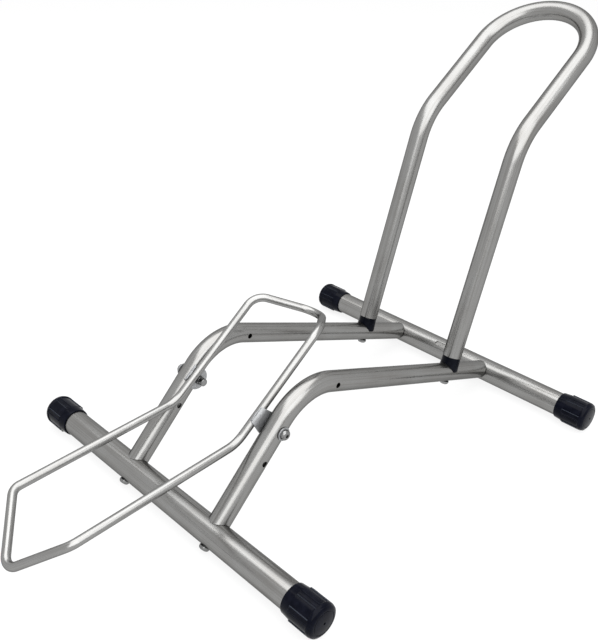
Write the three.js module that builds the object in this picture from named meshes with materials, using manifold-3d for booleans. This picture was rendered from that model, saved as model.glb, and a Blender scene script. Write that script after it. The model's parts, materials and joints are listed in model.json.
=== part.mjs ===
// Floor rack for one bicycle: two cross tubes on end caps, two bent rails between them, a
// leaning hoop that holds the wheel upright, and a rocking cradle of bent rod between the rails.
//
// Millimetres and degrees. +X runs from the entry to the hoop, +Y from right to left, +Z up.
// The origin is at the bottom centre of the whole rack, on the floor.

import * as THREE from 'three';
import { mergeVertices } from 'three/addons/utils/BufferGeometryUtils.js';
import Module from 'manifold-3d';

// Gaps between pieces
const SEAT_GAP = 0.3; // between two pieces that are pressed together
const TUBE_FIT = 0.5; // round a plug or a spigot inside a tube
const CAP_FIT = 0.15; // round a cross tube inside its cap
const BOLT_FIT = 0.25; // round a bolt in a plain hole
const THREAD_FIT = 0.2; // round a bolt in a threaded hole
const PIVOT_GAP = 0.5; // between a swinging tab and the pieces beside it

// Cross tubes
const CROSS_SPACING = 508;
const CROSS_LENGTH = 480;
const CROSS_DIAMETER = 32;
const CROSS_WALL = 1.5;
const SLOT_LENGTH = 25;
const SLOT_WIDTH = 5.5;
const SLOT_OFFSET = -6; // along the rear tube from its middle
const SLOT_ELEVATION = 52.7; // above the level line towards the entry

// End caps, which are also the feet
const CAP_GRIP = 38; // how far a cap reaches over its tube
const CAP_COLLAR = 11; // smooth part at the mouth
const CAP_MOUTH_WALL = 1.55;
const CAP_WALL = 2.65; // between the ribs
const CAP_END_WALL = 6.2;
const CAP_RIM_RADIUS = 6;
const CAP_CROWN = 0.8; // rise of the end face
const CAP_HOLE_DIAMETER = 3;
const CAP_BAND = 0.5; // full-width band between the ribs' ends and the rim
const RIB_COUNT = 6;
const RIB_WIDTH = 8;
const RIB_HEIGHT = 1.2;
const RIB_SINK = 0.05; // below the band, where a rib runs into it
const CAP_LAND = 0.4; // depth of the flat that stands on the floor
// First rib of each cap, in degrees from the top towards the entry
const CAP_TURN = { front_left: 5, front_right: 7, rear_left: 9, rear_right: 18 };

// Rails
const RAIL_SPACING = 152.4;
const RAIL_DIAMETER = 25.4;
const RAIL_WALL = 1.5;
const RAIL_FRONT_SLOPE = 46.1;
const RAIL_REAR_SLOPE = 20;
const RAIL_BEND_RADIUS = 72;
const PIVOT_AT = 131.75; // along the rail from the front tube's axis
const SPARE_HOLES_AT = [93, 228];
const SPARE_HOLE_DIAMETER = 6;
const HOOP_FROM_REAR = 100.3; // along the rail from the rear tube's axis

// Hoop
const HOOP_DIAMETER = 25.4;
const HOOP_WALL = 1.5;
const HOOP_LEG_SLOPE = 72.4;
const HOOP_LEG_START = 23.5; // from the rail's axis to the end of the leg
const HOOP_ELBOW_AT = 320.8; // from the rail's axis to the elbow
const HOOP_ELBOW_RADIUS = 90;
const HOOP_TOP_SLOPE = 35.4;
const HOOP_TOP_REACH = 149.4; // from the elbow to the centre of the round top

// Saddles between the hoop and the rails
const SADDLE_SKIRT_END = 4; // above the rail's axis
const SADDLE_FLARE = 0.5; // beyond the leg, at the lower end
const SADDLE_INSET = 0.4; // within the leg, at the upper end
const SADDLE_CHAMFER = 0.5;
const SPIGOT_LENGTH = 6;

// Threaded plugs, bolts, washers and nuts
const BOLT_DIAMETER = 6;
const HEAD_DIAMETER = 12.4;
const HEAD_HEIGHT = 4.4;
const HEAD_BAND = 1.1; // height of the head's upright edge
const HEAD_FLAT_DIAMETER = 6.2; // flat round the socket
const BOLT_CHAMFER = 1; // length of the bevel at the tip
const SOCKET_FLATS = 4;
const SOCKET_DEPTH = 2;
const JOINT_BOLT_LENGTH = 50;
const HOOP_BOLT_LENGTH = 60;
const PIVOT_BOLT_LENGTH = 35;
const PLUG_LENGTH = 14;
const WASHER_DIAMETER = 16;
const WASHER_THICKNESS = 1.5;
const NUT_FLATS = 10;
const NUT_THICKNESS = 5;
const NUT_DOME_DIAMETER = 9.2;
const NUT_DOME_HEIGHT = 4;
const NUT_CROWN = 1.2; // the rounded end of the dome
const NUT_BORE_DEPTH = 7.5;

// Cradle, measured from the pivot's axis in the side view
const ROD_DIAMETER = 10;
const PIVOT_TO_ROD = 14;
const PIVOT_TO_KNEE = 38.4;
const CRADLE_REAR_RUN = 161.2;
const CRADLE_REAR_SLOPE = 38.2;
const CRADLE_FRONT_RUN = 208.3;
const CRADLE_FRONT_SLOPE = 4;
const CRADLE_FRONT_SPLAY = 1.4; // each side, from the knee to the front corner
const FRONT_V_REACH = 45.5;
const FRONT_V_DROP = 42.8;
const REAR_V_REACH = 70.2;
const REAR_V_DROP = 31.4;
const KNEE_RADIUS = 40;
const CORNER_RADIUS = 14;
const TAB_THICKNESS = 2.5;
const TAB_NECK_WIDTH = 20; // at the rod
const TAB_EYE_RADIUS = 13.7; // round the pivot
const TAB_WRAP = 57; // degrees of the rod that the tab wraps, from its outer side upward

// Facets
const CROSS_SIDES = 24;
const TUBE_SIDES = 20;
const BORE_SIDES = 12;
const SHANK_SIDES = 12;
const ROD_SIDES = 12;
const SAME_STATION = 0.01; // stations of a bent tube that are closer than this are one

// What follows from the sizes
const crossRadius = CROSS_DIAMETER / 2;
const railRadius = RAIL_DIAMETER / 2;
const hoopRadius = HOOP_DIAMETER / 2;
const boltRadius = BOLT_DIAMETER / 2;
const rodRadius = ROD_DIAMETER / 2;
const capBore = crossRadius + CAP_FIT;
const capValley = capBore + CAP_WALL;
const capRadius = capValley + RIB_HEIGHT;
const axisHeight = capRadius - CAP_LAND;

const degrees = THREE.MathUtils.degToRad;
const vector = (x, y, z) => new THREE.Vector3(x, y, z);
/** Unit vector in the side view, rising from +X by the given angle. */
const rising = (angle) => vector(Math.cos(degrees(angle)), 0, Math.sin(degrees(angle)));

// ---------------------------------------------------------------------------------------
// Solids: closed three.js geometries that can be cut and joined
// ---------------------------------------------------------------------------------------

const wasm = await Module();
wasm.setup();

function solidOf(geometry) {
  const bare = geometry.clone();
  bare.deleteAttribute('normal');
  bare.deleteAttribute('uv');
  const merged = mergeVertices(bare);
  const mesh = new wasm.Mesh({
    numProp: 3,
    vertProperties: new Float32Array(merged.attributes.position.array),
    triVerts: new Uint32Array(merged.index.array),
  });
  return new wasm.Manifold(mesh);
}

function geometryOf(solid) {
  const { vertProperties, triVerts } = solid.getMesh();
  const geometry = new THREE.BufferGeometry();
  geometry.setAttribute('position', new THREE.BufferAttribute(vertProperties, 3));
  geometry.setIndex(new THREE.BufferAttribute(triVerts, 1));
  geometry.computeVertexNormals();
  return geometry;
}

/** The geometry with each of the cutting geometries taken away. */
function cut(geometry, ...tools) {
  return geometryOf(tools.reduce((left, tool) => left.subtract(solidOf(tool)), solidOf(geometry)));
}

/** Outline of a round section; its corners lie on the circle. */
function circle(radius, sides) {
  return Array.from({ length: sides }, (_, i) => {
    const angle = (2 * Math.PI * i) / sides;
    return new THREE.Vector2(radius * Math.cos(angle), radius * Math.sin(angle));
  });
}

/** Solid of revolution about Y from pairs of radius and height; the profile is closed. */
function turned(profile, sides) {
  const points = profile.map(([radius, height]) => new THREE.Vector2(radius, height));
  return new THREE.LatheGeometry(points, sides);
}

/** Turns a geometry that was made along +Y to another direction and moves it to a point. */
function pointed(geometry, point, direction) {
  const turn = new THREE.Quaternion().setFromUnitVectors(vector(0, 1, 0), direction);
  return geometry.applyQuaternion(turn).translate(point.x, point.y, point.z);
}

/** Round bar through a point, reaching the same distance to both sides. */
function drill(point, direction, radius, reach, sides = SHANK_SIDES) {
  return pointed(new THREE.CylinderGeometry(radius, radius, 2 * reach, sides), point, direction);
}

/**
 * A path of straight runs joined by round bends. It is met only at the stations that a tube
 * needs: the ends of the straight runs and a few steps in each bend.
 */
class BentPath extends THREE.Curve {
  constructor(corners, { closed = false, step = 10 } = {}) {
    super();
    this.closed = closed;
    this.stations = [];
    const count = corners.length;
    corners.forEach(({ point, radius }, i) => {
      const end = !closed && (i === 0 || i === count - 1);
      const before = corners[(i + count - 1) % count].point;
      const after = corners[(i + 1) % count].point;
      if (end) {
        const along = i === 0 ? after.clone().sub(point) : point.clone().sub(before);
        this.add(point.clone(), along.normalize());
        return;
      }
      const inward = point.clone().sub(before).normalize();
      const outward = after.clone().sub(point).normalize();
      const angle = inward.angleTo(outward);
      const tangentLength = radius * Math.tan(angle / 2);
      const start = point.clone().addScaledVector(inward, -tangentLength);
      const side = outward.clone().addScaledVector(inward, -outward.dot(inward)).normalize();
      const centre = start.clone().addScaledVector(side, radius);
      const steps = Math.ceil(THREE.MathUtils.radToDeg(angle) / step);
      for (let k = 0; k <= steps; k += 1) {
        const bent = (angle * k) / steps;
        const spoke = side.clone().multiplyScalar(-Math.cos(bent));
        spoke.addScaledVector(inward, Math.sin(bent));
        const tangent = inward.clone().multiplyScalar(Math.cos(bent));
        tangent.addScaledVector(side, Math.sin(bent));
        this.add(centre.clone().addScaledVector(spoke, radius), tangent);
      }
    });
    this.steps = this.stations.length - (closed ? 0 : 1);
  }

  add(point, tangent) {
    const last = this.stations[this.stations.length - 1];
    const run = last ? point.distanceTo(last.point) : 0;
    if (last && run < SAME_STATION) return;
    this.stations.push({ point, tangent, length: last ? last.length + run : 0 });
  }

  getPointAt(u, target = vector()) {
    const index = Math.round(u * this.steps) % this.stations.length;
    return target.copy(this.stations[index].point);
  }

  getTangentAt(u, target = vector()) {
    const index = Math.round(u * this.steps) % this.stations.length;
    return target.copy(this.stations[index].tangent);
  }

  get length() {
    return this.stations[this.stations.length - 1].length;
  }

  /** Point and direction at a distance along the path. */
  at(distance) {
    const next = this.stations.findIndex((station) => station.length >= distance);
    const b = this.stations[Math.max(next, 1)];
    const a = this.stations[this.stations.indexOf(b) - 1];
    const share = (distance - a.length) / (b.length - a.length);
    return {
      point: a.point.clone().lerp(b.point, share),
      direction: a.tangent.clone().lerp(b.tangent, share).normalize(),
    };
  }
}

/** Tube, or solid bar where the bore is zero, along an open path. */
function tubeAlong(path, radius, bore) {
  const section = new THREE.Shape(circle(radius, TUBE_SIDES));
  if (bore > 0) section.holes.push(new THREE.Path(circle(bore, BORE_SIDES)));
  return new THREE.ExtrudeGeometry(section, { steps: path.steps, extrudePath: path });
}

// ---------------------------------------------------------------------------------------
// Lines of the frame, in the side view of one rail (y = 0), with x = 0 at the front tube
// ---------------------------------------------------------------------------------------

const frontAxis = vector(0, 0, axisHeight);
const rearAxis = vector(CROSS_SPACING, 0, axisHeight);
const frontRun = rising(RAIL_FRONT_SLOPE);
const rearRun = rising(-RAIL_REAR_SLOPE);
const rises = [RAIL_FRONT_SLOPE, RAIL_REAR_SLOPE].map((slope) => Math.tan(degrees(slope)));
const apexX = (CROSS_SPACING * rises[1]) / (rises[0] + rises[1]);
const apex = vector(apexX, 0, axisHeight + apexX * rises[0]);

const railPath = new BentPath([
  { point: frontAxis },
  { point: apex, radius: RAIL_BEND_RADIUS },
  { point: rearAxis },
]);

const pivot = railPath.at(PIVOT_AT).point;
const hoopFoot = railPath.at(railPath.length - HOOP_FROM_REAR).point;
const legRun = rising(HOOP_LEG_SLOPE);
const topRun = rising(HOOP_TOP_SLOPE);
const railSide = RAIL_SPACING / 2;
const acrossRail = vector(0, 1, 0);

// ---------------------------------------------------------------------------------------
// Cross tubes and their caps
// ---------------------------------------------------------------------------------------

function crossTube(boltDirection) {
  const half = CROSS_LENGTH / 2;
  const bore = crossRadius - CROSS_WALL;
  const profile = [[bore, -half], [crossRadius, -half], [crossRadius, half], [bore, half]];
  const holes = [-railSide, railSide].map((y) => (
    drill(vector(0, y, 0), boltDirection, boltRadius + BOLT_FIT, CROSS_DIAMETER)
  ));
  return cut(turned([...profile, profile[0]], CROSS_SIDES), ...holes);
}

/** Long hole with round ends through the upper front wall of the rear tube. */
function slotTool() {
  const radius = SLOT_WIDTH / 2;
  const straight = SLOT_LENGTH / 2 - radius;
  const outline = new THREE.Shape();
  outline.absarc(straight, 0, radius, -Math.PI / 2, Math.PI / 2);
  outline.absarc(-straight, 0, radius, Math.PI / 2, (3 * Math.PI) / 2);
  const settings = { depth: CROSS_DIAMETER, bevelEnabled: false, curveSegments: 6 };
  const tool = new THREE.ExtrudeGeometry(outline, settings);
  tool.rotateZ(Math.PI / 2);
  tool.rotateY(-degrees(90 - SLOT_ELEVATION));
  return tool.translate(0, SLOT_OFFSET, 0);
}

/** Cap with its tube's end at y = 0 and its own end face beyond that, towards +Y. */
function endCap(firstRib) {
  const endWallStart = SEAT_GAP;
  const endFace = endWallStart + CAP_END_WALL;
  const rimStart = endFace - CAP_CROWN - CAP_RIM_RADIUS;
  const faceRadius = capRadius - CAP_RIM_RADIUS;
  const rim = [0, 30, 60, 90].map((angle) => [
    faceRadius + CAP_RIM_RADIUS * Math.sin(degrees(angle)),
    rimStart + CAP_RIM_RADIUS * Math.cos(degrees(angle)),
  ]);
  const ribStart = CAP_COLLAR - CAP_GRIP;
  const bandStart = rimStart - CAP_BAND;
  const hole = CAP_HOLE_DIAMETER / 2;
  const profile = [
    [capBore, endWallStart],
    [capBore, -CAP_GRIP],
    [capBore + CAP_MOUTH_WALL, -CAP_GRIP],
    [capValley, ribStart],
    [capValley, bandStart - RIB_HEIGHT],
    [capRadius, bandStart],
    ...rim.reverse(),
    [hole, endFace],
    [hole, endWallStart],
  ];
  const body = turned([...profile, profile[0]], CROSS_SIDES);

  // The ribs' tops stay just inside the facets of the band.
  const ribRadius = capRadius * Math.cos(Math.PI / CROSS_SIDES) - RIB_SINK;
  const ribAngle = RIB_WIDTH / capRadius;
  const section = new THREE.Shape();
  section.absarc(0, 0, ribRadius, -ribAngle / 2, ribAngle / 2, false);
  section.absarc(0, 0, capValley - CAP_WALL / 2, ribAngle / 2, -ribAngle / 2, true);
  const ribEnd = bandStart + CAP_BAND / 2;
  const settings = { depth: ribEnd - ribStart, bevelEnabled: false, curveSegments: 3 };
  const rib = new THREE.ExtrudeGeometry(section, settings);
  rib.rotateX(Math.PI / 2).translate(0, ribEnd, 0);

  let solid = solidOf(body);
  for (let i = 0; i < RIB_COUNT; i += 1) {
    const angle = 90 + firstRib + (360 * i) / RIB_COUNT;
    solid = solid.add(solidOf(rib.clone().rotateY(-degrees(angle))));
  }
  const length = CAP_GRIP + endFace;
  const floor = new THREE.BoxGeometry(CROSS_LENGTH, 2 * length, capRadius);
  floor.translate(0, 0, -axisHeight - capRadius / 2);
  return geometryOf(solid.subtract(solidOf(floor)));
}

// ---------------------------------------------------------------------------------------
// Rails, hoop and saddles
// ---------------------------------------------------------------------------------------

function rail() {
  const tube = tubeAlong(railPath, railRadius, railRadius - RAIL_WALL);
  const copes = [frontAxis, rearAxis].map((axis) => (
    drill(axis, acrossRail, crossRadius + SEAT_GAP, RAIL_DIAMETER, CROSS_SIDES)
  ));
  const pivotHole = drill(pivot, acrossRail, boltRadius + BOLT_FIT, RAIL_DIAMETER);
  const spareHoles = SPARE_HOLES_AT.map((distance) => (
    drill(railPath.at(distance).point, acrossRail, SPARE_HOLE_DIAMETER / 2, RAIL_DIAMETER)
  ));
  const hoopHole = drill(hoopFoot, legRun, boltRadius + BOLT_FIT, RAIL_DIAMETER);
  return cut(tube, ...copes, pivotHole, ...spareHoles, hoopHole);
}

function hoop() {
  const start = hoopFoot.clone().addScaledVector(legRun, HOOP_LEG_START);
  const elbow = hoopFoot.clone().addScaledVector(legRun, HOOP_ELBOW_AT);
  const top = elbow.clone().addScaledVector(topRun, HOOP_TOP_REACH + railSide);
  const side = (point, y) => point.clone().setY(y);
  const path = new BentPath([
    { point: side(start, -railSide) },
    { point: side(elbow, -railSide), radius: HOOP_ELBOW_RADIUS },
    { point: side(top, -railSide), radius: railSide },
    { point: side(top, railSide), radius: railSide },
    { point: side(elbow, railSide), radius: HOOP_ELBOW_RADIUS },
    { point: side(start, railSide) },
  ]);
  return tubeAlong(path, hoopRadius, hoopRadius - HOOP_WALL);
}

/** Sleeve that seats the round end of a leg on the round top of a rail. */
function saddle() {
  const top = HOOP_LEG_START - SEAT_GAP;
  const spigot = hoopRadius - HOOP_WALL - TUBE_FIT;
  const hole = boltRadius + BOLT_FIT;
  const profile = [
    [hole, SADDLE_SKIRT_END],
    [hoopRadius + SADDLE_FLARE, SADDLE_SKIRT_END],
    [hoopRadius - SADDLE_INSET, top - 2 * SADDLE_CHAMFER],
    [hoopRadius - SADDLE_INSET - SADDLE_CHAMFER, top],
    [spigot, top],
    [spigot, top + SPIGOT_LENGTH],
    [hole, top + SPIGOT_LENGTH],
  ];
  const sleeve = turned([...profile, profile[0]], TUBE_SIDES);
  const seat = tubeAlong(railPath, railRadius + SEAT_GAP, 0);
  return cut(pointed(sleeve, hoopFoot, legRun), seat);
}

// ---------------------------------------------------------------------------------------
// Fasteners, made along +Y with the seat of the head at y = 0
// ---------------------------------------------------------------------------------------

function roundHeadBolt(length) {
  const headRadius = HEAD_DIAMETER / 2;
  const flatRadius = HEAD_FLAT_DIAMETER / 2;
  const dome = [0, 30, 60, 90].map((angle) => [
    flatRadius + (headRadius - flatRadius) * Math.sin(degrees(angle)),
    -HEAD_BAND - (HEAD_HEIGHT - HEAD_BAND) * Math.cos(degrees(angle)),
  ]);
  const profile = [
    [0, -HEAD_HEIGHT],
    ...dome,
    [headRadius, 0],
    [boltRadius, 0],
    [boltRadius, length - BOLT_CHAMFER],
    [boltRadius - BOLT_CHAMFER / 2, length],
    [0, length],
  ];
  const socketRadius = SOCKET_FLATS / Math.sqrt(3);
  const socket = new THREE.CylinderGeometry(socketRadius, socketRadius, 2 * SOCKET_DEPTH, 6);
  return cut(turned(profile, SHANK_SIDES), socket.translate(0, -HEAD_HEIGHT, 0));
}

function ringBlank(outer, inner, start, end, sides) {
  const profile = [[inner, start], [outer, start], [outer, end], [inner, end]];
  return turned([...profile, profile[0]], sides);
}

function plug(tubeBore) {
  return ringBlank(tubeBore - TUBE_FIT, boltRadius + THREAD_FIT, 0, PLUG_LENGTH, BORE_SIDES);
}

function washer() {
  const hole = boltRadius + BOLT_FIT;
  return ringBlank(WASHER_DIAMETER / 2, hole, 0, WASHER_THICKNESS, TUBE_SIDES);
}

/** Hexagon cap nut: its threaded bore ends inside a low dome. */
function capNut() {
  const corner = NUT_FLATS / Math.sqrt(3);
  const hexagon = new THREE.CylinderGeometry(corner, corner, NUT_THICKNESS, 6);
  hexagon.translate(0, NUT_THICKNESS / 2, 0);
  const domeRadius = NUT_DOME_DIAMETER / 2;
  const arc = [0, 30, 60].map((angle) => [
    domeRadius * Math.cos(degrees(angle)),
    NUT_THICKNESS + NUT_DOME_HEIGHT - NUT_CROWN * (1 - Math.sin(degrees(angle))),
  ]);
  const profile = [
    [0, NUT_THICKNESS / 2],
    [domeRadius, NUT_THICKNESS / 2],
    ...arc,
    [0, NUT_THICKNESS + NUT_DOME_HEIGHT],
  ];
  const bore = drill(vector(0, 0, 0), acrossRail, boltRadius + THREAD_FIT, NUT_BORE_DEPTH);
  const blank = solidOf(hexagon).add(solidOf(turned(profile, SHANK_SIDES)));
  return geometryOf(blank.subtract(solidOf(bore)));
}

// ---------------------------------------------------------------------------------------
// Cradle, with the pivot's axis as its own Y axis
// ---------------------------------------------------------------------------------------

const tabOuterFace = railSide - railRadius - PIVOT_GAP;
const tabInnerFace = tabOuterFace - TAB_THICKNESS;
const rodSide = tabInnerFace - SEAT_GAP - rodRadius;

function cradleRod() {
  const rearRunUp = rising(CRADLE_REAR_SLOPE);
  const aboveRun = rising(CRADLE_REAR_SLOPE + 90);
  const frontRunDown = rising(180 + CRADLE_FRONT_SLOPE);
  const knee = aboveRun.clone().multiplyScalar(PIVOT_TO_ROD);
  knee.addScaledVector(rearRunUp, -PIVOT_TO_KNEE);
  const rearCorner = knee.clone().addScaledVector(rearRunUp, CRADLE_REAR_RUN);
  const frontCorner = knee.clone().addScaledVector(frontRunDown, CRADLE_FRONT_RUN);
  const frontTip = frontCorner.clone().add(vector(-FRONT_V_REACH, 0, -FRONT_V_DROP));
  const rearTip = rearCorner.clone().add(vector(REAR_V_REACH, 0, -REAR_V_DROP));
  const frontSide = rodSide + CRADLE_FRONT_SPLAY;
  const side = (point, y) => point.clone().setY(y);
  const path = new BentPath([
    { point: frontTip, radius: CORNER_RADIUS },
    { point: side(frontCorner, -frontSide), radius: CORNER_RADIUS },
    { point: side(knee, -rodSide), radius: KNEE_RADIUS },
    { point: side(rearCorner, -rodSide), radius: CORNER_RADIUS },
    { point: rearTip, radius: CORNER_RADIUS },
    { point: side(rearCorner, rodSide), radius: CORNER_RADIUS },
    { point: side(knee, rodSide), radius: KNEE_RADIUS },
    { point: side(frontCorner, frontSide), radius: CORNER_RADIUS },
  ], { closed: true, step: 15 });
  const loop = new THREE.TubeGeometry(path, path.steps, rodRadius, ROD_SIDES, true);
  return geometryOf(solidOf(loop));
}

/** Tab on the +Y side, with +X up along the rear run and +Z away from the pivot to the rod. */
function pivotTab() {
  const inner = tabInnerFace - rodSide;
  const outer = tabOuterFace - rodSide;
  const reach = TAB_EYE_RADIUS + TAB_NECK_WIDTH; // past every edge of the tab
  const wrap = degrees(TAB_WRAP);
  const section = new THREE.Shape();
  section.moveTo(tabInnerFace, -reach);
  section.lineTo(tabOuterFace, -reach);
  section.absarc(rodSide, PIVOT_TO_ROD, outer, 0, wrap, false);
  section.absarc(rodSide, PIVOT_TO_ROD, inner, wrap, 0, true);
  section.closePath();
  const bent = new THREE.ExtrudeGeometry(section, {
    depth: 2 * reach, bevelEnabled: false, curveSegments: 3,
  });
  bent.rotateZ(Math.PI / 2).rotateY(Math.PI / 2).translate(-reach, 0, 0);

  // Seen from the side the tab is a round eye that narrows to a neck at the rod.
  const neck = TAB_NECK_WIDTH / 2;
  const neckHeight = PIVOT_TO_ROD + outer;
  const neckReach = Math.hypot(neck, neckHeight);
  const touch = Math.atan2(neckHeight, neck) - Math.acos(TAB_EYE_RADIUS / neckReach);
  const outline = new THREE.Shape();
  outline.moveTo(neck, neckHeight);
  outline.lineTo(-neck, neckHeight);
  outline.absarc(0, 0, TAB_EYE_RADIUS, Math.PI - touch, 2 * Math.PI + touch, false);
  outline.closePath();
  const front = new THREE.ExtrudeGeometry(outline, {
    depth: RAIL_SPACING, bevelEnabled: false, curveSegments: 8,
  });
  front.rotateX(Math.PI / 2).translate(0, RAIL_SPACING, 0);
  const hole = drill(vector(0, 0, 0), acrossRail, boltRadius + BOLT_FIT, RAIL_SPACING);
  return geometryOf(solidOf(bent).intersect(solidOf(front)).subtract(solidOf(hole)));
}

// ---------------------------------------------------------------------------------------
// Assembly
// ---------------------------------------------------------------------------------------

const finishes = {
  tube: { color: 0xaaa7a2, roughness: 0.38, metalness: 1 },
  plated: { color: 0xc4c5c6, roughness: 0.28, metalness: 1 },
  plastic: { color: 0x17181c, roughness: 0.55, metalness: 0 },
};

function piece(name, geometry, finish, position = vector(), direction = null) {
  const mesh = new THREE.Mesh(geometry, new THREE.MeshStandardMaterial(finishes[finish]));
  mesh.name = name;
  mesh.position.copy(position);
  if (direction) mesh.quaternion.setFromUnitVectors(vector(0, 1, 0), direction);
  return mesh;
}

const rack = new THREE.Group();
const cradle = new THREE.Group();
cradle.position.copy(pivot);
rack.add(cradle);

// Cross tubes and caps. A cap turned to the right side is turned about Z.
const rearTube = cut(crossTube(rearRun), slotTool());
rack.add(piece('front_cross_tube', crossTube(frontRun), 'tube', frontAxis));
rack.add(piece('rear_cross_tube', rearTube, 'tube', rearAxis));
for (const [end, axis] of [['front', frontAxis], ['rear', rearAxis]]) {
  for (const [hand, sign] of [['left', 1], ['right', -1]]) {
    const turn = sign * CAP_TURN[`${end}_${hand}`];
    const cap = piece(`cap_${end}_${hand}`, endCap(turn), 'plastic');
    cap.position.copy(axis).setY((sign * CROSS_LENGTH) / 2);
    if (sign < 0) cap.rotation.z = Math.PI;
    rack.add(cap);
  }
}

// Everything that comes in a left and a right copy
const onSide = (point, sign) => point.clone().setY(sign * railSide);
const from = (point, direction, distance) => point.clone().addScaledVector(direction, distance);
const railBore = railRadius - RAIL_WALL;
const hoopBore = hoopRadius - HOOP_WALL;
const headSeatOnCross = crossRadius + SEAT_GAP;
const headSeatOnRail = railRadius + SEAT_GAP;
const plugSeat = crossRadius + 2 * SEAT_GAP;
const hoopPlugSeat = HOOP_LEG_START + SPIGOT_LENGTH;

for (const [hand, sign] of [['left', 1], ['right', -1]]) {
  const front = onSide(frontAxis, sign);
  const rear = onSide(rearAxis, sign);
  const foot = onSide(hoopFoot, sign);
  const towardsRail = rearRun.clone().negate();

  rack.add(
    piece(`${hand}_rail`, rail(), 'tube', vector(0, sign * railSide, 0)),
    piece(`hoop_saddle_${hand}`, saddle(), 'plastic', vector(0, sign * railSide, 0)),

    piece(`front_joint_bolt_${hand}`, roundHeadBolt(JOINT_BOLT_LENGTH), 'plated',
      from(front, frontRun, -headSeatOnCross), frontRun),
    piece(`front_joint_plug_${hand}`, plug(railBore), 'plated',
      from(front, frontRun, plugSeat), frontRun),
    piece(`rear_joint_bolt_${hand}`, roundHeadBolt(JOINT_BOLT_LENGTH), 'plated',
      from(rear, towardsRail, -headSeatOnCross), towardsRail),
    piece(`rear_joint_plug_${hand}`, plug(railBore), 'plated',
      from(rear, towardsRail, plugSeat), towardsRail),
    piece(`hoop_bolt_${hand}`, roundHeadBolt(HOOP_BOLT_LENGTH), 'plated',
      from(foot, legRun, -headSeatOnRail), legRun),
    piece(`hoop_plug_${hand}`, plug(hoopBore), 'plated',
      from(foot, legRun, hoopPlugSeat), legRun),
  );

  const inward = vector(0, -sign, 0);
  const washerSeat = pivot.clone().setY(sign * (railSide + railRadius + SEAT_GAP));
  const headSeat = from(washerSeat, inward, -WASHER_THICKNESS - SEAT_GAP);
  const nutSeat = pivot.clone().setY(sign * (tabInnerFace - PIVOT_GAP));
  rack.add(
    piece(`pivot_washer_${hand}`, washer(), 'plated',
      from(washerSeat, inward, -WASHER_THICKNESS), inward),
    piece(`pivot_bolt_${hand}`, roundHeadBolt(PIVOT_BOLT_LENGTH), 'plated', headSeat, inward),
    piece(`pivot_nut_${hand}`, capNut(), 'plated', nutSeat, inward),
  );

  // A left tab turned half round about its own Z serves the right side.
  const tab = piece(`pivot_tab_${hand}`, pivotTab(), 'plated');
  const leaning = new THREE.Group();
  leaning.rotation.y = -degrees(CRADLE_REAR_SLOPE);
  if (sign < 0) tab.rotation.z = Math.PI;
  leaning.add(tab);
  cradle.add(leaning);
}

rack.add(piece('hoop', hoop(), 'tube'));
cradle.add(piece('cradle_rod', cradleRod(), 'plated'));

// Origin at the bottom centre
const bounds = new THREE.Box3().setFromObject(rack, true);
rack.position.x = -(bounds.min.x + bounds.max.x) / 2;
rack.updateMatrixWorld(true);

export default rack;
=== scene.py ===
# %% [markdown]
# # A floor rack for one bicycle
#
# The real rack is five steel tubes, a loop of steel rod, eight bolts and a few black plastic
# mouldings. Its solids come packed from CAD, in metres, with their joints. They could be shown
# as they are, but their round forms have facets and they have no finish. So this notebook
# builds a smooth piece for each one, gives each its finish, and sets up the studio.

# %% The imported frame
import json
import math

import bmesh
import bpy
import numpy as np
from mathutils import Matrix, Vector


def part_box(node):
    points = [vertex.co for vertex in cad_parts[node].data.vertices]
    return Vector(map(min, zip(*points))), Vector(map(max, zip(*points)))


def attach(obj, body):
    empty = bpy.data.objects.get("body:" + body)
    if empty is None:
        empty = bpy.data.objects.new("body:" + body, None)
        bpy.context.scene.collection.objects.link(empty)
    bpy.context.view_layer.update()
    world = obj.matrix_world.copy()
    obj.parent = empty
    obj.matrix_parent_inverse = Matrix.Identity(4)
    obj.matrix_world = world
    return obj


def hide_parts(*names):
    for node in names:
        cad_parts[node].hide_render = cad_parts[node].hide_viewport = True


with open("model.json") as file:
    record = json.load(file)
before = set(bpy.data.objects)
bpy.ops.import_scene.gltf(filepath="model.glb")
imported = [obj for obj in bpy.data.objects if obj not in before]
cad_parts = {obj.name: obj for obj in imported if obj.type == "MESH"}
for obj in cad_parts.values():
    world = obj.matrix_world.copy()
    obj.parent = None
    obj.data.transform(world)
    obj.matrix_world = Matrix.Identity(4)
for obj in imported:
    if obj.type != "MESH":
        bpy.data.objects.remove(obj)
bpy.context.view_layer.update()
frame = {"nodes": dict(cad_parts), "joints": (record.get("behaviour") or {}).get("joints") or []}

MM = 0.001
scene = bpy.context.scene

# %% [markdown]
# ## The lines of the rack
#
# Every tube follows straight runs joined by round bends. Its line could be drawn over the
# photograph by eye, but corners with a bend radius each are what a bending machine is set to,
# and they stay exact. The anchors are read from the CAD nodes, and only slopes, radii and
# distances along a tube are written here.

# %% Anchors and sizes
CROSS_RADIUS, CROSS_WALL = 16 * MM, 1.5 * MM
TUBE_RADIUS, TUBE_WALL = 12.7 * MM, 1.5 * MM
ROD_RADIUS = 5 * MM
SEAT_GAP = 0.3 * MM
HANDS = {"left": 1, "right": -1}
ACROSS = Vector((0, 1, 0))


def middle(name):
    """Centre of a CAD node's box."""
    low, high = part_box(name)
    return (low + high) / 2


def rising(angle):
    """Unit vector in the side view, rising from +X by an angle in degrees."""
    return Vector((math.cos(math.radians(angle)), 0, math.sin(math.radians(angle))))


def at_side(point, y):
    """The same point of the side view, moved to a place across the rack."""
    return Vector((point.x, y, point.z))


FRONT = middle("front_cross_tube")
REAR = middle("rear_cross_tube")
PIVOT = Vector(frame["joints"][0]["pos_m"])
RAIL_SIDE = middle("left_rail").y
print("front", FRONT, "rear", REAR, "pivot", PIVOT, "rail at", RAIL_SIDE)

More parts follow.
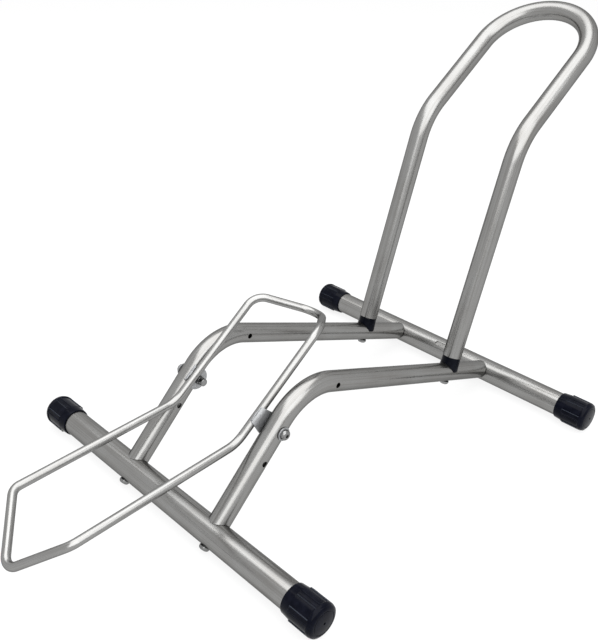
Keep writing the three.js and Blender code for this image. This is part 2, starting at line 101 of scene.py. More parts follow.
# %% Paths of straight runs and round bends
BEND_STEP = 2.5  # degrees
SAME_POINT = 0.01 * MM


def bent_path(corners, closed=False):
    """Points of a path; each corner is a point and its bend radius."""
    points = []
    count = len(corners)
    for i, (corner, radius) in enumerate(corners):
        if not closed and i in (0, count - 1):
            points.append(corner.copy())
            continue
        inward = (corner - corners[i - 1][0]).normalized()
        outward = (corners[(i + 1) % count][0] - corner).normalized()
        angle = inward.angle(outward)
        start = corner - inward * (radius * math.tan(angle / 2))
        side = (outward - inward * outward.dot(inward)).normalized()
        steps = math.ceil(math.degrees(angle) / BEND_STEP)
        for k in range(steps + 1):
            turn = angle * k / steps
            point = (start + side * radius * (1 - math.cos(turn))
                     + inward * radius * math.sin(turn))
            if not points or (point - points[-1]).length > SAME_POINT:
                points.append(point)
    return points


# %% Corners of the rails and the hoop
FRONT_SLOPE, REAR_SLOPE, RAIL_BEND = 46.1, 20, 72 * MM
LEG_SLOPE, TOP_SLOPE, ELBOW_BEND = 72.4, 35.4, 90 * MM
HOOP_FROM_REAR, LEG_START = 100.3 * MM, 23.5 * MM
ELBOW_AT, TOP_REACH = 320.8 * MM, 149.4 * MM

up, down = math.tan(math.radians(FRONT_SLOPE)), math.tan(math.radians(REAR_SLOPE))
apex_run = (REAR.x - FRONT.x) * down / (up + down)
rail_apex = FRONT + Vector((apex_run, 0, apex_run * up))
rail_corners = [(FRONT, 0), (rail_apex, RAIL_BEND), (REAR, 0)]

leg_run, top_run = rising(LEG_SLOPE), rising(TOP_SLOPE)
hoop_foot = REAR + rising(180 - REAR_SLOPE) * HOOP_FROM_REAR
elbow = hoop_foot + leg_run * ELBOW_AT
hoop_top = elbow + top_run * (TOP_REACH + RAIL_SIDE)
one_leg = [(hoop_foot + leg_run * LEG_START, 0), (elbow, ELBOW_BEND), (hoop_top, RAIL_SIDE)]
hoop_corners = [(at_side(point, -RAIL_SIDE), bend) for point, bend in one_leg]
hoop_corners += [(at_side(point, RAIL_SIDE), bend) for point, bend in reversed(one_leg)]
print("hoop stands on the rails at", hoop_foot, "and turns at", elbow)

# %% [markdown]
# ## Small helpers for node trees
#
# Node trees could be drawn by hand in the editor, but then the notebook couldn't build them
# again. Writing them out is long, so one helper adds a node, sets its options and wires its
# inputs. Another runs a Geometry Nodes tree on an object and hands back a plain mesh.

# %% Helpers for nodes
def node(tree, kind, inputs=None, **options):
    """Add a node; an input gets a link where the value is a socket, else the plain value."""
    made = tree.nodes.new(kind)
    for name, value in options.items():
        setattr(made, name, value)
    for key, value in (inputs or {}).items():
        if isinstance(value, bpy.types.NodeSocket):
            tree.links.new(value, made.inputs[key])
        else:
            made.inputs[key].default_value = value
    return made


def new_group(name, kind, inputs, outputs):
    """Node group with named sockets; returns the tree, its inputs and its output node."""
    tree = bpy.data.node_groups.new(name, kind)
    for label, (socket, default) in inputs.items():
        made = tree.interface.new_socket(label, in_out="INPUT", socket_type=socket)
        if default is not None:
            made.default_value = default
    for label, socket in outputs.items():
        tree.interface.new_socket(label, in_out="OUTPUT", socket_type=socket)
    return tree, tree.nodes.new("NodeGroupInput").outputs, tree.nodes.new("NodeGroupOutput")


def math_of(tree, operation, *values):
    return node(tree, "ShaderNodeMath", dict(enumerate(values)), operation=operation).outputs[0]


def hand_over(tree, geometry, material, result):
    """End a geometry tree: real geometry, its material, and the link to the output."""
    real = node(tree, "GeometryNodeRealizeInstances", {0: geometry})
    finished = node(tree, "GeometryNodeSetMaterial",
                    {"Geometry": real.outputs[0], "Material": material})
    tree.links.new(finished.outputs[0], result.inputs[0])
    print(f"{tree.name}: {len(tree.nodes)} nodes")


# %% Helpers that run a tree
def add_piece(name, data):
    """New object in the scene, from a mesh or a curve."""
    piece = bpy.data.objects.new(name, data)
    scene.collection.objects.link(piece)
    return piece


def evaluated_mesh(piece):
    """Plain mesh of an object with its modifiers applied."""
    graph = bpy.context.evaluated_depsgraph_get()
    return bpy.data.meshes.new_from_object(piece.evaluated_get(graph), depsgraph=graph)


def run_tree(piece, tree, values):
    """Mesh that a Geometry Nodes tree makes from an object; inputs are set by identifier."""
    modifier = piece.modifiers.new(tree.name, "NODES")
    modifier.node_group = tree
    for item in tree.interface.items_tree:
        if item.item_type == "SOCKET" and item.in_out == "INPUT" and item.name in values:
            modifier[item.identifier] = values[item.name]
    mesh = evaluated_mesh(piece)
    bpy.data.objects.remove(piece)
    return mesh


# %% [markdown]
# ## Tubes: a skin along a path
#
# A tube could be modelled by hand, bend by bend. It is easier to sweep a circle along the
# path, which Curve to Mesh does in Geometry Nodes. The tree also stores how far along and
# round the tube each corner lies, as if the tube were still straight: the drawn grain of the
# metal then follows the bends. Solidify gives the skin its wall afterwards.

# %% The tree that sweeps a tube
TUBE_SIDES, ROD_SIDES = 96, 48

tube_tree, given, result = new_group(
    "Tube along a path", "GeometryNodeTree",
    {"Geometry": ("NodeSocketGeometry", None), "Radius": ("NodeSocketFloat", 0.01),
     "Sides": ("NodeSocketInt", TUBE_SIDES), "Material": ("NodeSocketMaterial", None)},
    {"Geometry": "NodeSocketGeometry"})
along = node(tube_tree, "GeometryNodeCaptureAttribute", {"Geometry": given["Geometry"]})
along.capture_items.new("FLOAT", "Length")
tube_tree.links.new(node(tube_tree, "GeometryNodeSplineParameter").outputs["Length"],
                    along.inputs["Length"])
ring = node(tube_tree, "GeometryNodeCurvePrimitiveCircle",
            {"Resolution": given["Sides"], "Radius": given["Radius"]})
round_it = node(tube_tree, "GeometryNodeCaptureAttribute", {"Geometry": ring.outputs["Curve"]})
round_it.capture_items.new("VECTOR", "Section")
tube_tree.links.new(node(tube_tree, "GeometryNodeInputPosition").outputs[0],
                    round_it.inputs["Section"])
skin = node(tube_tree, "GeometryNodeCurveToMesh",
            {"Curve": along.outputs["Geometry"], "Profile Curve": round_it.outputs["Geometry"]})
section = node(tube_tree, "ShaderNodeSeparateXYZ", {0: round_it.outputs["Section"]})
straight = node(tube_tree, "ShaderNodeCombineXYZ", {
    "X": section.outputs["X"], "Y": section.outputs["Y"], "Z": along.outputs["Length"]})
stored = node(tube_tree, "GeometryNodeStoreNamedAttribute",
              {"Geometry": skin.outputs["Mesh"], "Name": "straight",
               "Value": straight.outputs["Vector"]}, data_type="FLOAT_VECTOR", domain="CORNER")
hand_over(tube_tree, stored.outputs["Geometry"], given["Material"], result)

# %% Sweeping and walling
LAST_STEP = 0.2 * MM


def swept(points, radius, sides, material, closed=False, wall=0):
    """Mesh of a bar, or of a tube where there is a wall, along a path."""
    if closed:  # a short last step, because the length starts again from zero there
        points = points + [points[0] + (points[-1] - points[0]).normalized() * LAST_STEP]
    curve = bpy.data.curves.new("path", "CURVE")
    curve.dimensions = "3D"
    spline = curve.splines.new("POLY")
    spline.points.add(len(points) - 1)
    for spot, point in zip(spline.points, points):
        spot.co = (*point, 1)
    spline.use_cyclic_u = closed
    mesh = run_tree(add_piece("path", curve), tube_tree,
                    {"Radius": radius, "Sides": sides, "Material": material})
    if not wall:
        return mesh
    shell = add_piece("shell", mesh)
    thicken = shell.modifiers.new("Wall", "SOLIDIFY")
    thicken.thickness = wall
    thicken.offset = -1
    mesh = evaluated_mesh(shell)
    bpy.data.objects.remove(shell)
    return mesh


# %% [markdown]
# ## Metal finishes
#
# The tubes have a satin silver coat with a faint lengthwise grain. Rod, tabs and fasteners are
# zinc plated, each a little different in tone and grain. Photographs of metal could be laid on
# them, but noise stretched along the metal has no seams and follows every bend. Grain is an
# effect that all metals share, so it is one node group. It reads a position along the metal
# and puts out masks and a normal.

# %% Grain group
BUMP_DISTANCE = 0.05 * MM

grain_tree, given, result = new_group(
    "Drawn grain", "ShaderNodeTree",
    {"Vector": ("NodeSocketVector", None), "Fineness": ("NodeSocketFloat", 900.0),
     "Stretch": ("NodeSocketFloat", 0.02), "Depth": ("NodeSocketFloat", 0.1)},
    {"Streaks": "NodeSocketFloat", "Clouds": "NodeSocketFloat", "Normal": "NodeSocketVector"})
squeeze = node(grain_tree, "ShaderNodeCombineXYZ", {"X": 1.0, "Y": 1.0, "Z": given["Stretch"]})
pulled = node(grain_tree, "ShaderNodeVectorMath",
              {0: given["Vector"], 1: squeeze.outputs[0]}, operation="MULTIPLY")
streaks = node(grain_tree, "ShaderNodeTexNoise",
               {"Vector": pulled.outputs[0], "Scale": given["Fineness"], "Detail": 1.0})
clouds = node(grain_tree, "ShaderNodeTexNoise",
              {"Vector": given["Vector"], "Scale": 22.0, "Detail": 4.0, "Roughness": 0.55})
raised = node(grain_tree, "ShaderNodeBump",
              {"Strength": given["Depth"], "Distance": BUMP_DISTANCE,
               "Height": streaks.outputs["Fac"]})
for label, source in [("Streaks", streaks.outputs["Fac"]), ("Clouds", clouds.outputs["Fac"]),
                      ("Normal", raised.outputs["Normal"])]:
    grain_tree.links.new(source, result.inputs[label])
print(f"{grain_tree.name}: {len(grain_tree.nodes)} nodes")

# %% Helpers for materials
MASK_LOW, MASK_HIGH = 0.3, 0.7  # noise seldom leaves this range


def new_material(name):
    """Material with its node tree and its Principled shader."""
    material = bpy.data.materials.new(name)
    material.use_nodes = True
    return material, material.node_tree, material.node_tree.nodes["Principled BSDF"]


def ramp(tree, factor, stops):
    """Colour ramp from pairs of place and colour."""
    made = node(tree, "ShaderNodeValToRGB", {"Fac": factor})
    elements = made.color_ramp.elements
    while len(elements) < len(stops):
        elements.new(1.0)
    for element, (place, colour) in zip(elements, stops):
        element.position = place
        element.color = (*colour, 1)
    return made.outputs["Color"]


def set_roughness(tree, shader, mask, shine):
    """Roughness that runs through a range with a mask."""
    rough = node(tree, "ShaderNodeMapRange",
                 {"Value": mask, "From Min": MASK_LOW, "From Max": MASK_HIGH,
                  "To Min": shine[0], "To Max": shine[1]})
    tree.links.new(rough.outputs[0], shader.inputs["Roughness"])


# %% Metals
STREAK_TINT, STREAK_FROM, STREAK_TO = (0.88, 0.87, 0.86), 0.36, 0.52
GRAZING_TINT = (0.4, 0.4, 0.4, 1)


def metal(name, dark, light, shine, fineness, stretch, depth, coordinate="straight",
          metallic=1.0):
    """Metal whose colour drifts from dark to light and whose shine varies along its grain."""
    material, tree, shader = new_material(name)
    if coordinate == "object":
        place = node(tree, "ShaderNodeTexCoord").outputs["Object"]
    else:
        place = node(tree, "ShaderNodeAttribute", attribute_name=coordinate).outputs["Vector"]
    grain = node(tree, "ShaderNodeGroup",
                 {"Vector": place, "Fineness": fineness, "Stretch": stretch, "Depth": depth},
                 node_tree=grain_tree)
    clouded = ramp(tree, grain.outputs["Clouds"], [(MASK_LOW, dark), (MASK_HIGH, light)])
    lined = ramp(tree, grain.outputs["Streaks"],
                 [(STREAK_FROM, STREAK_TINT), (STREAK_TO, (1, 1, 1))])
    colour = node(tree, "ShaderNodeMix", {0: 1.0, 6: clouded, 7: lined},
                  data_type="RGBA", blend_type="MULTIPLY")
    tree.links.new(colour.outputs[2], shader.inputs["Base Color"])
    set_roughness(tree, shader, grain.outputs["Streaks"], shine)
    tree.links.new(grain.outputs["Normal"], shader.inputs["Normal"])
    shader.inputs["Metallic"].default_value = metallic
    shader.inputs["Specular Tint"].default_value = GRAZING_TINT
    return material


coat = metal("satin_silver_coat", dark=(0.244, 0.241, 0.235), light=(0.28, 0.28, 0.276),
             shine=(0.21, 0.30), fineness=520, stretch=0.015, depth=0.008)
rod_zinc = metal("rod_zinc", dark=(0.262, 0.261, 0.257), light=(0.31, 0.31, 0.306),
                 shine=(0.22, 0.30), fineness=900, stretch=0.02, depth=0.02)
tab_zinc = metal("tab_zinc", dark=(0.25, 0.256, 0.263), light=(0.31, 0.316, 0.323),
                 shine=(0.34, 0.44), fineness=1500, stretch=0.05, depth=0.10,
                 coordinate="object", metallic=0.55)
bolt_zinc = metal("fastener_zinc", dark=(0.20, 0.203, 0.203), light=(0.28, 0.283, 0.283),
                  shine=(0.15, 0.24), fineness=2500, stretch=1.0, depth=0.05,
                  coordinate="object")
print("metals:", [material.name for material in (coat, rod_zinc, tab_zinc, bolt_zinc)])

# %% [markdown]
# ## Plastic finishes
#
# Caps and saddles are black plastic with a slightly blue cast, a fine moulded texture and
# faint cloudy wear. One flat black could stand for it, but it would look like a hole in the
# picture. Both plastics share the texture and the clouds, so these are a node group too. Only
# the caps get a pale painted highlight along their ribs, where an attribute of their mesh says
# so.

# %% Moulded skin group
mould_tree, given, result = new_group(
    "Moulded skin", "ShaderNodeTree",
    {"Vector": ("NodeSocketVector", None), "Fineness": ("NodeSocketFloat", 2600.0),
     "Wear size": ("NodeSocketFloat", 120.0), "Depth": ("NodeSocketFloat", 0.08)},
    {"Clouds": "NodeSocketFloat", "Normal": "NodeSocketVector"})
texture = node(mould_tree, "ShaderNodeTexNoise",
               {"Vector": given["Vector"], "Scale": given["Fineness"], "Detail": 2.0})
wear = node(mould_tree, "ShaderNodeTexNoise",
            {"Vector": given["Vector"], "Scale": given["Wear size"], "Detail": 4.0})
raised = node(mould_tree, "ShaderNodeBump",
              {"Strength": given["Depth"], "Distance": BUMP_DISTANCE,
               "Height": texture.outputs["Fac"]})
mould_tree.links.new(wear.outputs["Fac"], result.inputs["Clouds"])
mould_tree.links.new(raised.outputs["Normal"], result.inputs["Normal"])
print(f"{mould_tree.name}: {len(mould_tree.nodes)} nodes")

# %% Plastics
# The pale colour painted along the caps' rib edges as a highlight.
HIGHLIGHT_PAINT = (0.028, 0.032, 0.042)
PALE_FROM, PALE_TO = 0.4, 0.75
PALER, LIFT = 1.6, 0.002
LOW_SPECULAR = 0.06


def plastic(name, colour, shine, depth, worn=None):
    """Moulded plastic with cloudy wear and a painted highlight where the named attribute is 1.
    """
    material, tree, shader = new_material(name)
    place = node(tree, "ShaderNodeTexCoord").outputs["Object"]
    moulded = node(tree, "ShaderNodeGroup", {"Vector": place, "Depth": depth},
                   node_tree=mould_tree)
    pale = tuple(c * PALER + LIFT for c in colour)
    base = ramp(tree, moulded.outputs["Clouds"], [(PALE_FROM, colour), (PALE_TO, pale)])
    # Painted highlight: the colour turns pale where the named attribute is 1.
    if worn:
        painted_highlight_mask = node(tree, "ShaderNodeAttribute", attribute_name=worn).outputs["Fac"]
        base = node(tree, "ShaderNodeMix", {0: painted_highlight_mask, 6: base, 7: (*HIGHLIGHT_PAINT, 1)},
                    data_type="RGBA").outputs[2]
    tree.links.new(base, shader.inputs["Base Color"])
    set_roughness(tree, shader, moulded.outputs["Clouds"], shine)
    tree.links.new(moulded.outputs["Normal"], shader.inputs["Normal"])
    shader.inputs["Specular IOR Level"].default_value = LOW_SPECULAR
    return material


cap_plastic = plastic("cap_plastic", colour=(0.0010, 0.0014, 0.0042), shine=(0.15, 0.22),
                      depth=0.08, worn="worn")
saddle_plastic = plastic("saddle_plastic", colour=(0.0012, 0.0016, 0.0035),
                         shine=(0.18, 0.26), depth=0.08)
print("plastics:", [material.name for material in (cap_plastic, saddle_plastic)])

# %% [markdown]
# ## Turning, drawing out and cutting
#
# On the real rack, holes and fish mouths are drilled and milled. Faces could be moved by hand
# to leave such openings, but the Boolean modifier cuts them with a solid tool, as the workshop
# does. Two kinds of solid serve as small parts and as tools: one is turned about an axis, the
# other is drawn out from a flat outline.

# %% Solids from a profile or an outline
ON_AXIS = 1e-7


def outward_mesh(builder):
    """Plain mesh from a builder, with its faces turned outwards."""
    bmesh.ops.recalc_face_normals(builder, faces=builder.faces)
    mesh = bpy.data.meshes.new("solid")
    builder.to_mesh(mesh)
    builder.free()
    return mesh


def turned(profile, sides):
    """Solid turned about Z from a closed profile of (radius, height).

    A point on the axis becomes a single vertex.
    """
    builder = bmesh.new()
    rings = []
    for radius, height in profile:
        if radius < ON_AXIS:
            rings.append([builder.verts.new((0, 0, height))])
            continue
        angles = [2 * math.pi * k / sides for k in range(sides)]
        rings.append([builder.verts.new((radius * math.cos(a), radius * math.sin(a), height))
                      for a in angles])
    on_axis = profile[0][0] < ON_AXIS and profile[-1][0] < ON_AXIS
    pairs = list(zip(rings, rings[1:] + rings[:1]))
    for lower, upper in pairs[:-1] if on_axis else pairs:
        for k in range(sides):
            corners = [lower[k % len(lower)], lower[(k + 1) % len(lower)],
                       upper[(k + 1) % len(upper)], upper[k % len(upper)]]
            builder.faces.new(list(dict.fromkeys(corners)))
    return outward_mesh(builder)


def prism(outline, height):
    """Solid with a flat outline of (x, y) points, standing from z = 0 to a height."""
    builder = bmesh.new()
    face = builder.faces.new([builder.verts.new((x, y, 0)) for x, y in outline])
    grown = bmesh.ops.extrude_face_region(builder, geom=[face])["geom"]
    bmesh.ops.translate(builder, vec=(0, 0, height),
                        verts=[v for v in grown if isinstance(v, bmesh.types.BMVert)])
    return outward_mesh(builder)


def arc(centre, radius, start, end, steps, rise=None):
    """Points of an arc between two angles in degrees; a rise of its own makes it oval."""
    angles = [math.radians(start + (end - start) * k / steps) for k in range(steps + 1)]
    return [(centre[0] + radius * math.cos(a), centre[1] + (rise or radius) * math.sin(a))
            for a in angles]


# %% Cutting and joining
def facing(direction, point):
    """Matrix that turns Z to a direction and moves the origin to a point."""
    return Matrix.Translation(point) @ direction.to_track_quat("Z", "Y").to_matrix().to_4x4()


def bar(point, direction, radius, reach, sides=48):
    """Round cutter through a point, reaching the same distance both ways."""
    mesh = turned([(0, -reach), (radius, -reach), (radius, reach), (0, reach)], sides)
    mesh.transform(facing(direction, point))
    return mesh


def boolean(mesh, operation, *tools):
    """Cut or join a mesh with tool meshes by exact booleans; the tools are used up."""
    body = add_piece("boolean_body", mesh)
    for tool_mesh in tools:
        tool = add_piece("boolean_tool", tool_mesh)
        modifier = body.modifiers.new("Boolean", "BOOLEAN")
        modifier.operation = operation
        modifier.solver = "EXACT"
        modifier.object = tool
        result = evaluated_mesh(body)
        body.modifiers.clear()
        body.data = result
        bpy.data.objects.remove(tool)
    result = body.data
    bpy.data.objects.remove(body)
    return result


# %% Finished pieces
def smooth(mesh, crease=35):
    """Smooth shading with sharp edges where faces meet at more than the crease angle."""
    mesh.shade_smooth()
    mesh.set_sharp_from_angle(angle=math.radians(crease))
    return mesh


def in_material(mesh, material):
    """The same mesh with one material."""
    mesh.materials.clear()
    mesh.materials.append(material)
    return mesh


def stand_in(name, mesh, body, slot, *nodes):
    """Finished piece that rides on a body and stands for CAD nodes."""
    piece = add_piece(name, mesh)
    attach(piece, body)
    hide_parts(*nodes)
    print(f"{name}: {len(mesh.polygons)} faces")
    return piece


# %% [markdown]
# ## Cross tubes
#
# The two thick tubes lie across the rack and carry all the rest. Plain cylinders would do for
# straight tubes, but a sweep also stores the place that the grain reads, so each is a straight
# sweep. The bolt holes are drilled through it, and the rear tube has a slot in its upper front
# side. The photograph shows metal in that slot, so it is cut as a shallow recess.

# %% Cross tubes
BOLT_HOLE = 3.25 * MM
CROSS_DRILL = 30 * MM
HALF_RINGS = 24
rail_run = {"front": rising(FRONT_SLOPE), "rear": rising(180 - REAR_SLOPE)}


def cross_tube(end, axis):
    """Tube across the rack with a hole for each rail's bolt."""
    low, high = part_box(f"{end}_cross_tube")
    half = (high - low).y / 2
    points = [axis + Vector((0, half * k / HALF_RINGS, 0))
              for k in range(-HALF_RINGS, HALF_RINGS + 1)]
    mesh = swept(points, CROSS_RADIUS, TUBE_SIDES, coat, wall=CROSS_WALL)
    drills = [bar(at_side(axis, sign * RAIL_SIDE), rail_run[end], BOLT_HOLE, CROSS_DRILL)
              for sign in HANDS.values()]
    return boolean(mesh, "DIFFERENCE", *drills)


stand_in("front_tube_skin", smooth(cross_tube("front", FRONT)), "frame", "tube",
         "front_cross_tube")

# %% The rear tube with its slot
SLOT_LENGTH, SLOT_WIDTH, SLOT_DEPTH = 25 * MM, 6.2 * MM, 1.42 * MM
SLOT_ANGLE, SLOT_ASIDE = 180 - 52.7, -6 * MM
SLOT_CUTTER = 32 * MM


def slot_cutter(centre, outward):
    """Bar with round ends, its length lying across, that stops just below the tube's skin."""
    radius = SLOT_WIDTH / 2
    flat = SLOT_LENGTH / 2 - radius
    mesh = prism(arc((0, flat), radius, 180, 0, 24) + arc((0, -flat), radius, 0, -180, 24),
                 SLOT_CUTTER)
    mesh.transform(Matrix.Translation(centre + outward * (CROSS_RADIUS - SLOT_DEPTH))
                   @ Matrix((ACROSS.cross(outward), ACROSS, outward)).transposed().to_4x4())
    return mesh


rear_tube = boolean(cross_tube("rear", REAR), "DIFFERENCE",
                    slot_cutter(REAR + Vector((0, SLOT_ASIDE, 0)), rising(SLOT_ANGLE)))
stand_in("rear_tube_skin", smooth(rear_tube), "frame", "tube", "rear_cross_tube")

# %% [markdown]
# ## Rails
#
# Each rail ends in a fish mouth that fits round a cross tube, and has cross holes for the
# cradle's bolt in three places. The mouth could be modelled as a curved edge, but it is easier
# to sweep the rail to the cross tubes' axes and cut it back. The real mouths were cut a little
# deep: a dark crescent shows beside each front foot and a thin line at the rear, so the cutters
# are slightly larger than the cross tube there.

# %% Cutters of the rails
HOLES_AT = [93 * MM, 131.75 * MM, 228 * MM]
CROSS_HOLE, RAIL_DRILL = 3.4 * MM, 20 * MM
REAR_GAP, MOUTH_CUTTER = 1.3 * MM, 30 * MM
CRESCENT_REACH, CRESCENT_WIDTH, CRESCENT_SIDES = 19 * MM, 15.5 * MM, 128


def along_path(points, distance):
    """Point at a distance along a path."""
    for a, b in zip(points, points[1:]):
        run = (b - a).length
        if distance <= run:
            return a.lerp(b, distance / run)
        distance -= run
    return points[-1]


def oval_bar(centre, direction, reach, half_width):
    """Cutter across the rack with an oval section that reaches furthest along a direction."""
    mesh = turned([(0, -MOUTH_CUTTER), (1, -MOUTH_CUTTER), (1, MOUTH_CUTTER),
                   (0, MOUTH_CUTTER)], CRESCENT_SIDES)
    sideways = direction.cross(ACROSS)
    mesh.transform(Matrix.Translation(centre) @ Matrix(
        (direction * reach, sideways * half_width, -ACROSS)).transposed().to_4x4())
    mesh.flip_normals()
    return mesh


# %% Rails
def rail(sign):
    """Bent tube with a mouth at each end, three cross holes and the hoop bolt's hole."""
    points = [at_side(p, sign * RAIL_SIDE) for p in bent_path(rail_corners)]
    mesh = swept(points, TUBE_RADIUS, TUBE_SIDES, coat, wall=TUBE_WALL)
    mouths = [bar(at_side(axis, sign * RAIL_SIDE), ACROSS, CROSS_RADIUS + gap, MOUTH_CUTTER,
                  TUBE_SIDES)
              for axis, gap in ((FRONT, SEAT_GAP), (REAR, REAR_GAP))]
    mouths.append(oval_bar(at_side(FRONT, sign * RAIL_SIDE), rail_run["front"],
                           CRESCENT_REACH, CRESCENT_WIDTH))
    drills = [bar(along_path(points, distance), ACROSS, CROSS_HOLE, RAIL_DRILL)
              for distance in HOLES_AT]
    drills.append(bar(at_side(hoop_foot, sign * RAIL_SIDE), leg_run, BOLT_HOLE, RAIL_DRILL))
    return boolean(mesh, "DIFFERENCE", *mouths, *drills)


for hand, sign in HANDS.items():
    stand_in(f"rail_{hand}", smooth(rail(sign)), "frame", "tube", f"{hand}_rail")

# %% [markdown]
# ## Hoop
#
# The hoop holds the wheel upright. It is the longest tube, with an elbow in each leg and a
# round top. It could be joined from straight tubes and quarter rings, but one sweep keeps the
# grain running through every bend, as drawing the tube did.

# %% Hoop
hoop_mesh = swept(bent_path(hoop_corners), TUBE_RADIUS, TUBE_SIDES, coat, wall=TUBE_WALL)
stand_in("hoop_tube", smooth(hoop_mesh), "frame", "tube", "hoop")

# %% [markdown]
# ## Saddles
#
# Under each leg of the hoop sits a black plastic saddle. It takes up the round back of the rail
# below and plugs into the leg above. Its hollow underside is hard to draw, so a plain turned
# shape is made first and the rail's round back is cut out of it.

# %% Saddles
SADDLE_BASE, BASE_SPREAD, TOP_INSET = 4 * MM, 0.5 * MM, 0.4 * MM
SPIGOT_SLACK, SPIGOT_RISE, TOP_EDGE = 0.5 * MM, 6 * MM, 0.5 * MM
SEAT_CUTTER = 40 * MM


def saddle(sign):
    """Turned moulding with a spigot for the leg, cut to the rail's back."""
    top = LEG_START - SEAT_GAP
    spigot = TUBE_RADIUS - TUBE_WALL - SPIGOT_SLACK
    outer = TUBE_RADIUS - TOP_INSET
    profile = [(BOLT_HOLE, SADDLE_BASE), (TUBE_RADIUS + BASE_SPREAD, SADDLE_BASE),
               (outer, top - 2 * TOP_EDGE)]
    profile += arc((outer - TOP_EDGE, top - TOP_EDGE), TOP_EDGE, 0, 90, 3)
    profile += [(spigot, top), (spigot, top + SPIGOT_RISE), (BOLT_HOLE, top + SPIGOT_RISE)]
    mesh = turned(profile, TUBE_SIDES)
    foot = at_side(hoop_foot, sign * RAIL_SIDE)
    mesh.transform(facing(leg_run, foot))
    seat = bar(foot, rising(-REAR_SLOPE), TUBE_RADIUS + SEAT_GAP, SEAT_CUTTER, TUBE_SIDES)
    return in_material(boolean(mesh, "DIFFERENCE", seat), saddle_plastic)


for hand, sign in HANDS.items():
    stand_in(f"saddle_{hand}", smooth(saddle(sign)), "frame", "saddle", f"hoop_saddle_{hand}")

# %% [markdown]
# ## Ribbed end caps
#
# The four caps close the cross tubes and are the rack's feet. Six broad ribs run along each,
# hollow between two raised edges, and a pale painted highlight runs along each edge. Six ribs
# could be modelled and joined on, but they follow a rule: near one of six even angles the skin
# of a turned cup stands out, elsewhere it stays low. Geometry Nodes moves the skin by that rule,
# so one tree makes all four caps, each with its ribs turned as in the photograph. The first part
# of the tree measures how far round a point lies from the middle of the nearest rib.

# %% The rib tree: where a point lies
rib_tree, given, result = new_group(
    "Raised ribs", "GeometryNodeTree",
    {"Geometry": ("NodeSocketGeometry", None), "Count": ("NodeSocketInt", 6),
     "First angle": ("NodeSocketFloat", 0.0), "Rib radius": ("NodeSocketFloat", 0.02),
     "Valley radius": ("NodeSocketFloat", 0.0188), "Half width": ("NodeSocketFloat", 0.004),
     "Shoulder": ("NodeSocketFloat", 0.0007), "Lip": ("NodeSocketFloat", 0.001),
     "Hollow": ("NodeSocketFloat", 0.0008), "Start": ("NodeSocketFloat", 0.0),
     "End": ("NodeSocketFloat", 0.03), "Floor": ("NodeSocketFloat", -0.02),
     "Material": ("NodeSocketMaterial", None)},
    {"Geometry": "NodeSocketGeometry"})


def rib_math(operation, *values):
    """Math node in the rib tree."""
    return math_of(rib_tree, operation, *values)


def times(*values):
    return rib_math("MULTIPLY", *values)


def minus(*values):
    return rib_math("SUBTRACT", *values)


place = node(rib_tree, "GeometryNodeInputPosition").outputs[0]
spot = node(rib_tree, "ShaderNodeSeparateXYZ", {0: place})
flat = node(rib_tree, "ShaderNodeCombineXYZ", {"X": spot.outputs["X"], "Y": spot.outputs["Y"]})
radius = node(rib_tree, "ShaderNodeVectorMath", {0: flat.outputs[0]},
              operation="LENGTH").outputs["Value"]
angle = rib_math("ARCTAN2", spot.outputs["Y"], spot.outputs["X"])
turns = rib_math("DIVIDE", minus(angle, given["First angle"]), 2 * math.pi)
share = times(turns, given["Count"])
off = rib_math("ABSOLUTE", minus(share, rib_math("ROUND", share)))
from_middle = rib_math("DIVIDE", times(off, times(2 * math.pi, given["Rib radius"])),
                       given["Count"])
print("rib tree so far:", len(rib_tree.nodes), "nodes")

# %% [markdown]
# The second part turns that distance into masks between 0 and 1: inside a rib, past the collar,
# before the rim, on the outer skin, and between the two raised edges.

# %% The rib tree: masks
SKIN_DEPTH = 0.4 * MM


def step_up(value, low, high):
    """Smooth 0 to 1 step of a value between two limits."""
    return node(rib_tree, "ShaderNodeMapRange",
                {"Value": value, "From Min": low, "From Max": high},
                interpolation_type="SMOOTHSTEP").outputs[0]


inside = minus(1.0, step_up(from_middle, minus(given["Half width"], given["Shoulder"]),
                           given["Half width"]))
lengthwise = spot.outputs["Z"]
risen = step_up(lengthwise, given["Start"], rib_math("ADD", given["Start"], given["Shoulder"]))
before_end = rib_math("LESS_THAN", lengthwise, given["End"])
on_skin = rib_math("GREATER_THAN", radius, minus(given["Valley radius"], SKIN_DEPTH))
mask = times(times(inside, risen), times(before_end, on_skin))
lip_edge = minus(given["Half width"], rib_math("ADD", given["Lip"], given["Shoulder"]))
between_lips = minus(1.0, step_up(from_middle, minus(lip_edge, given["Shoulder"]), lip_edge))
print("rib tree so far:", len(rib_tree.nodes), "nodes")

# %% [markdown]
# The last part moves each point to its new radius, keeps it above the floor, and stores where
# a highlight is painted: on a thin line along each rib's shoulder.

# %% The rib tree: new places and painted highlight lines
# Place and width of the painted highlight line on each rib's shoulder.
LINE_AT, LINE_CORE, LINE_FADE = 0.6, 0.05 * MM, 0.45 * MM
NOT_ZERO = 1e-6

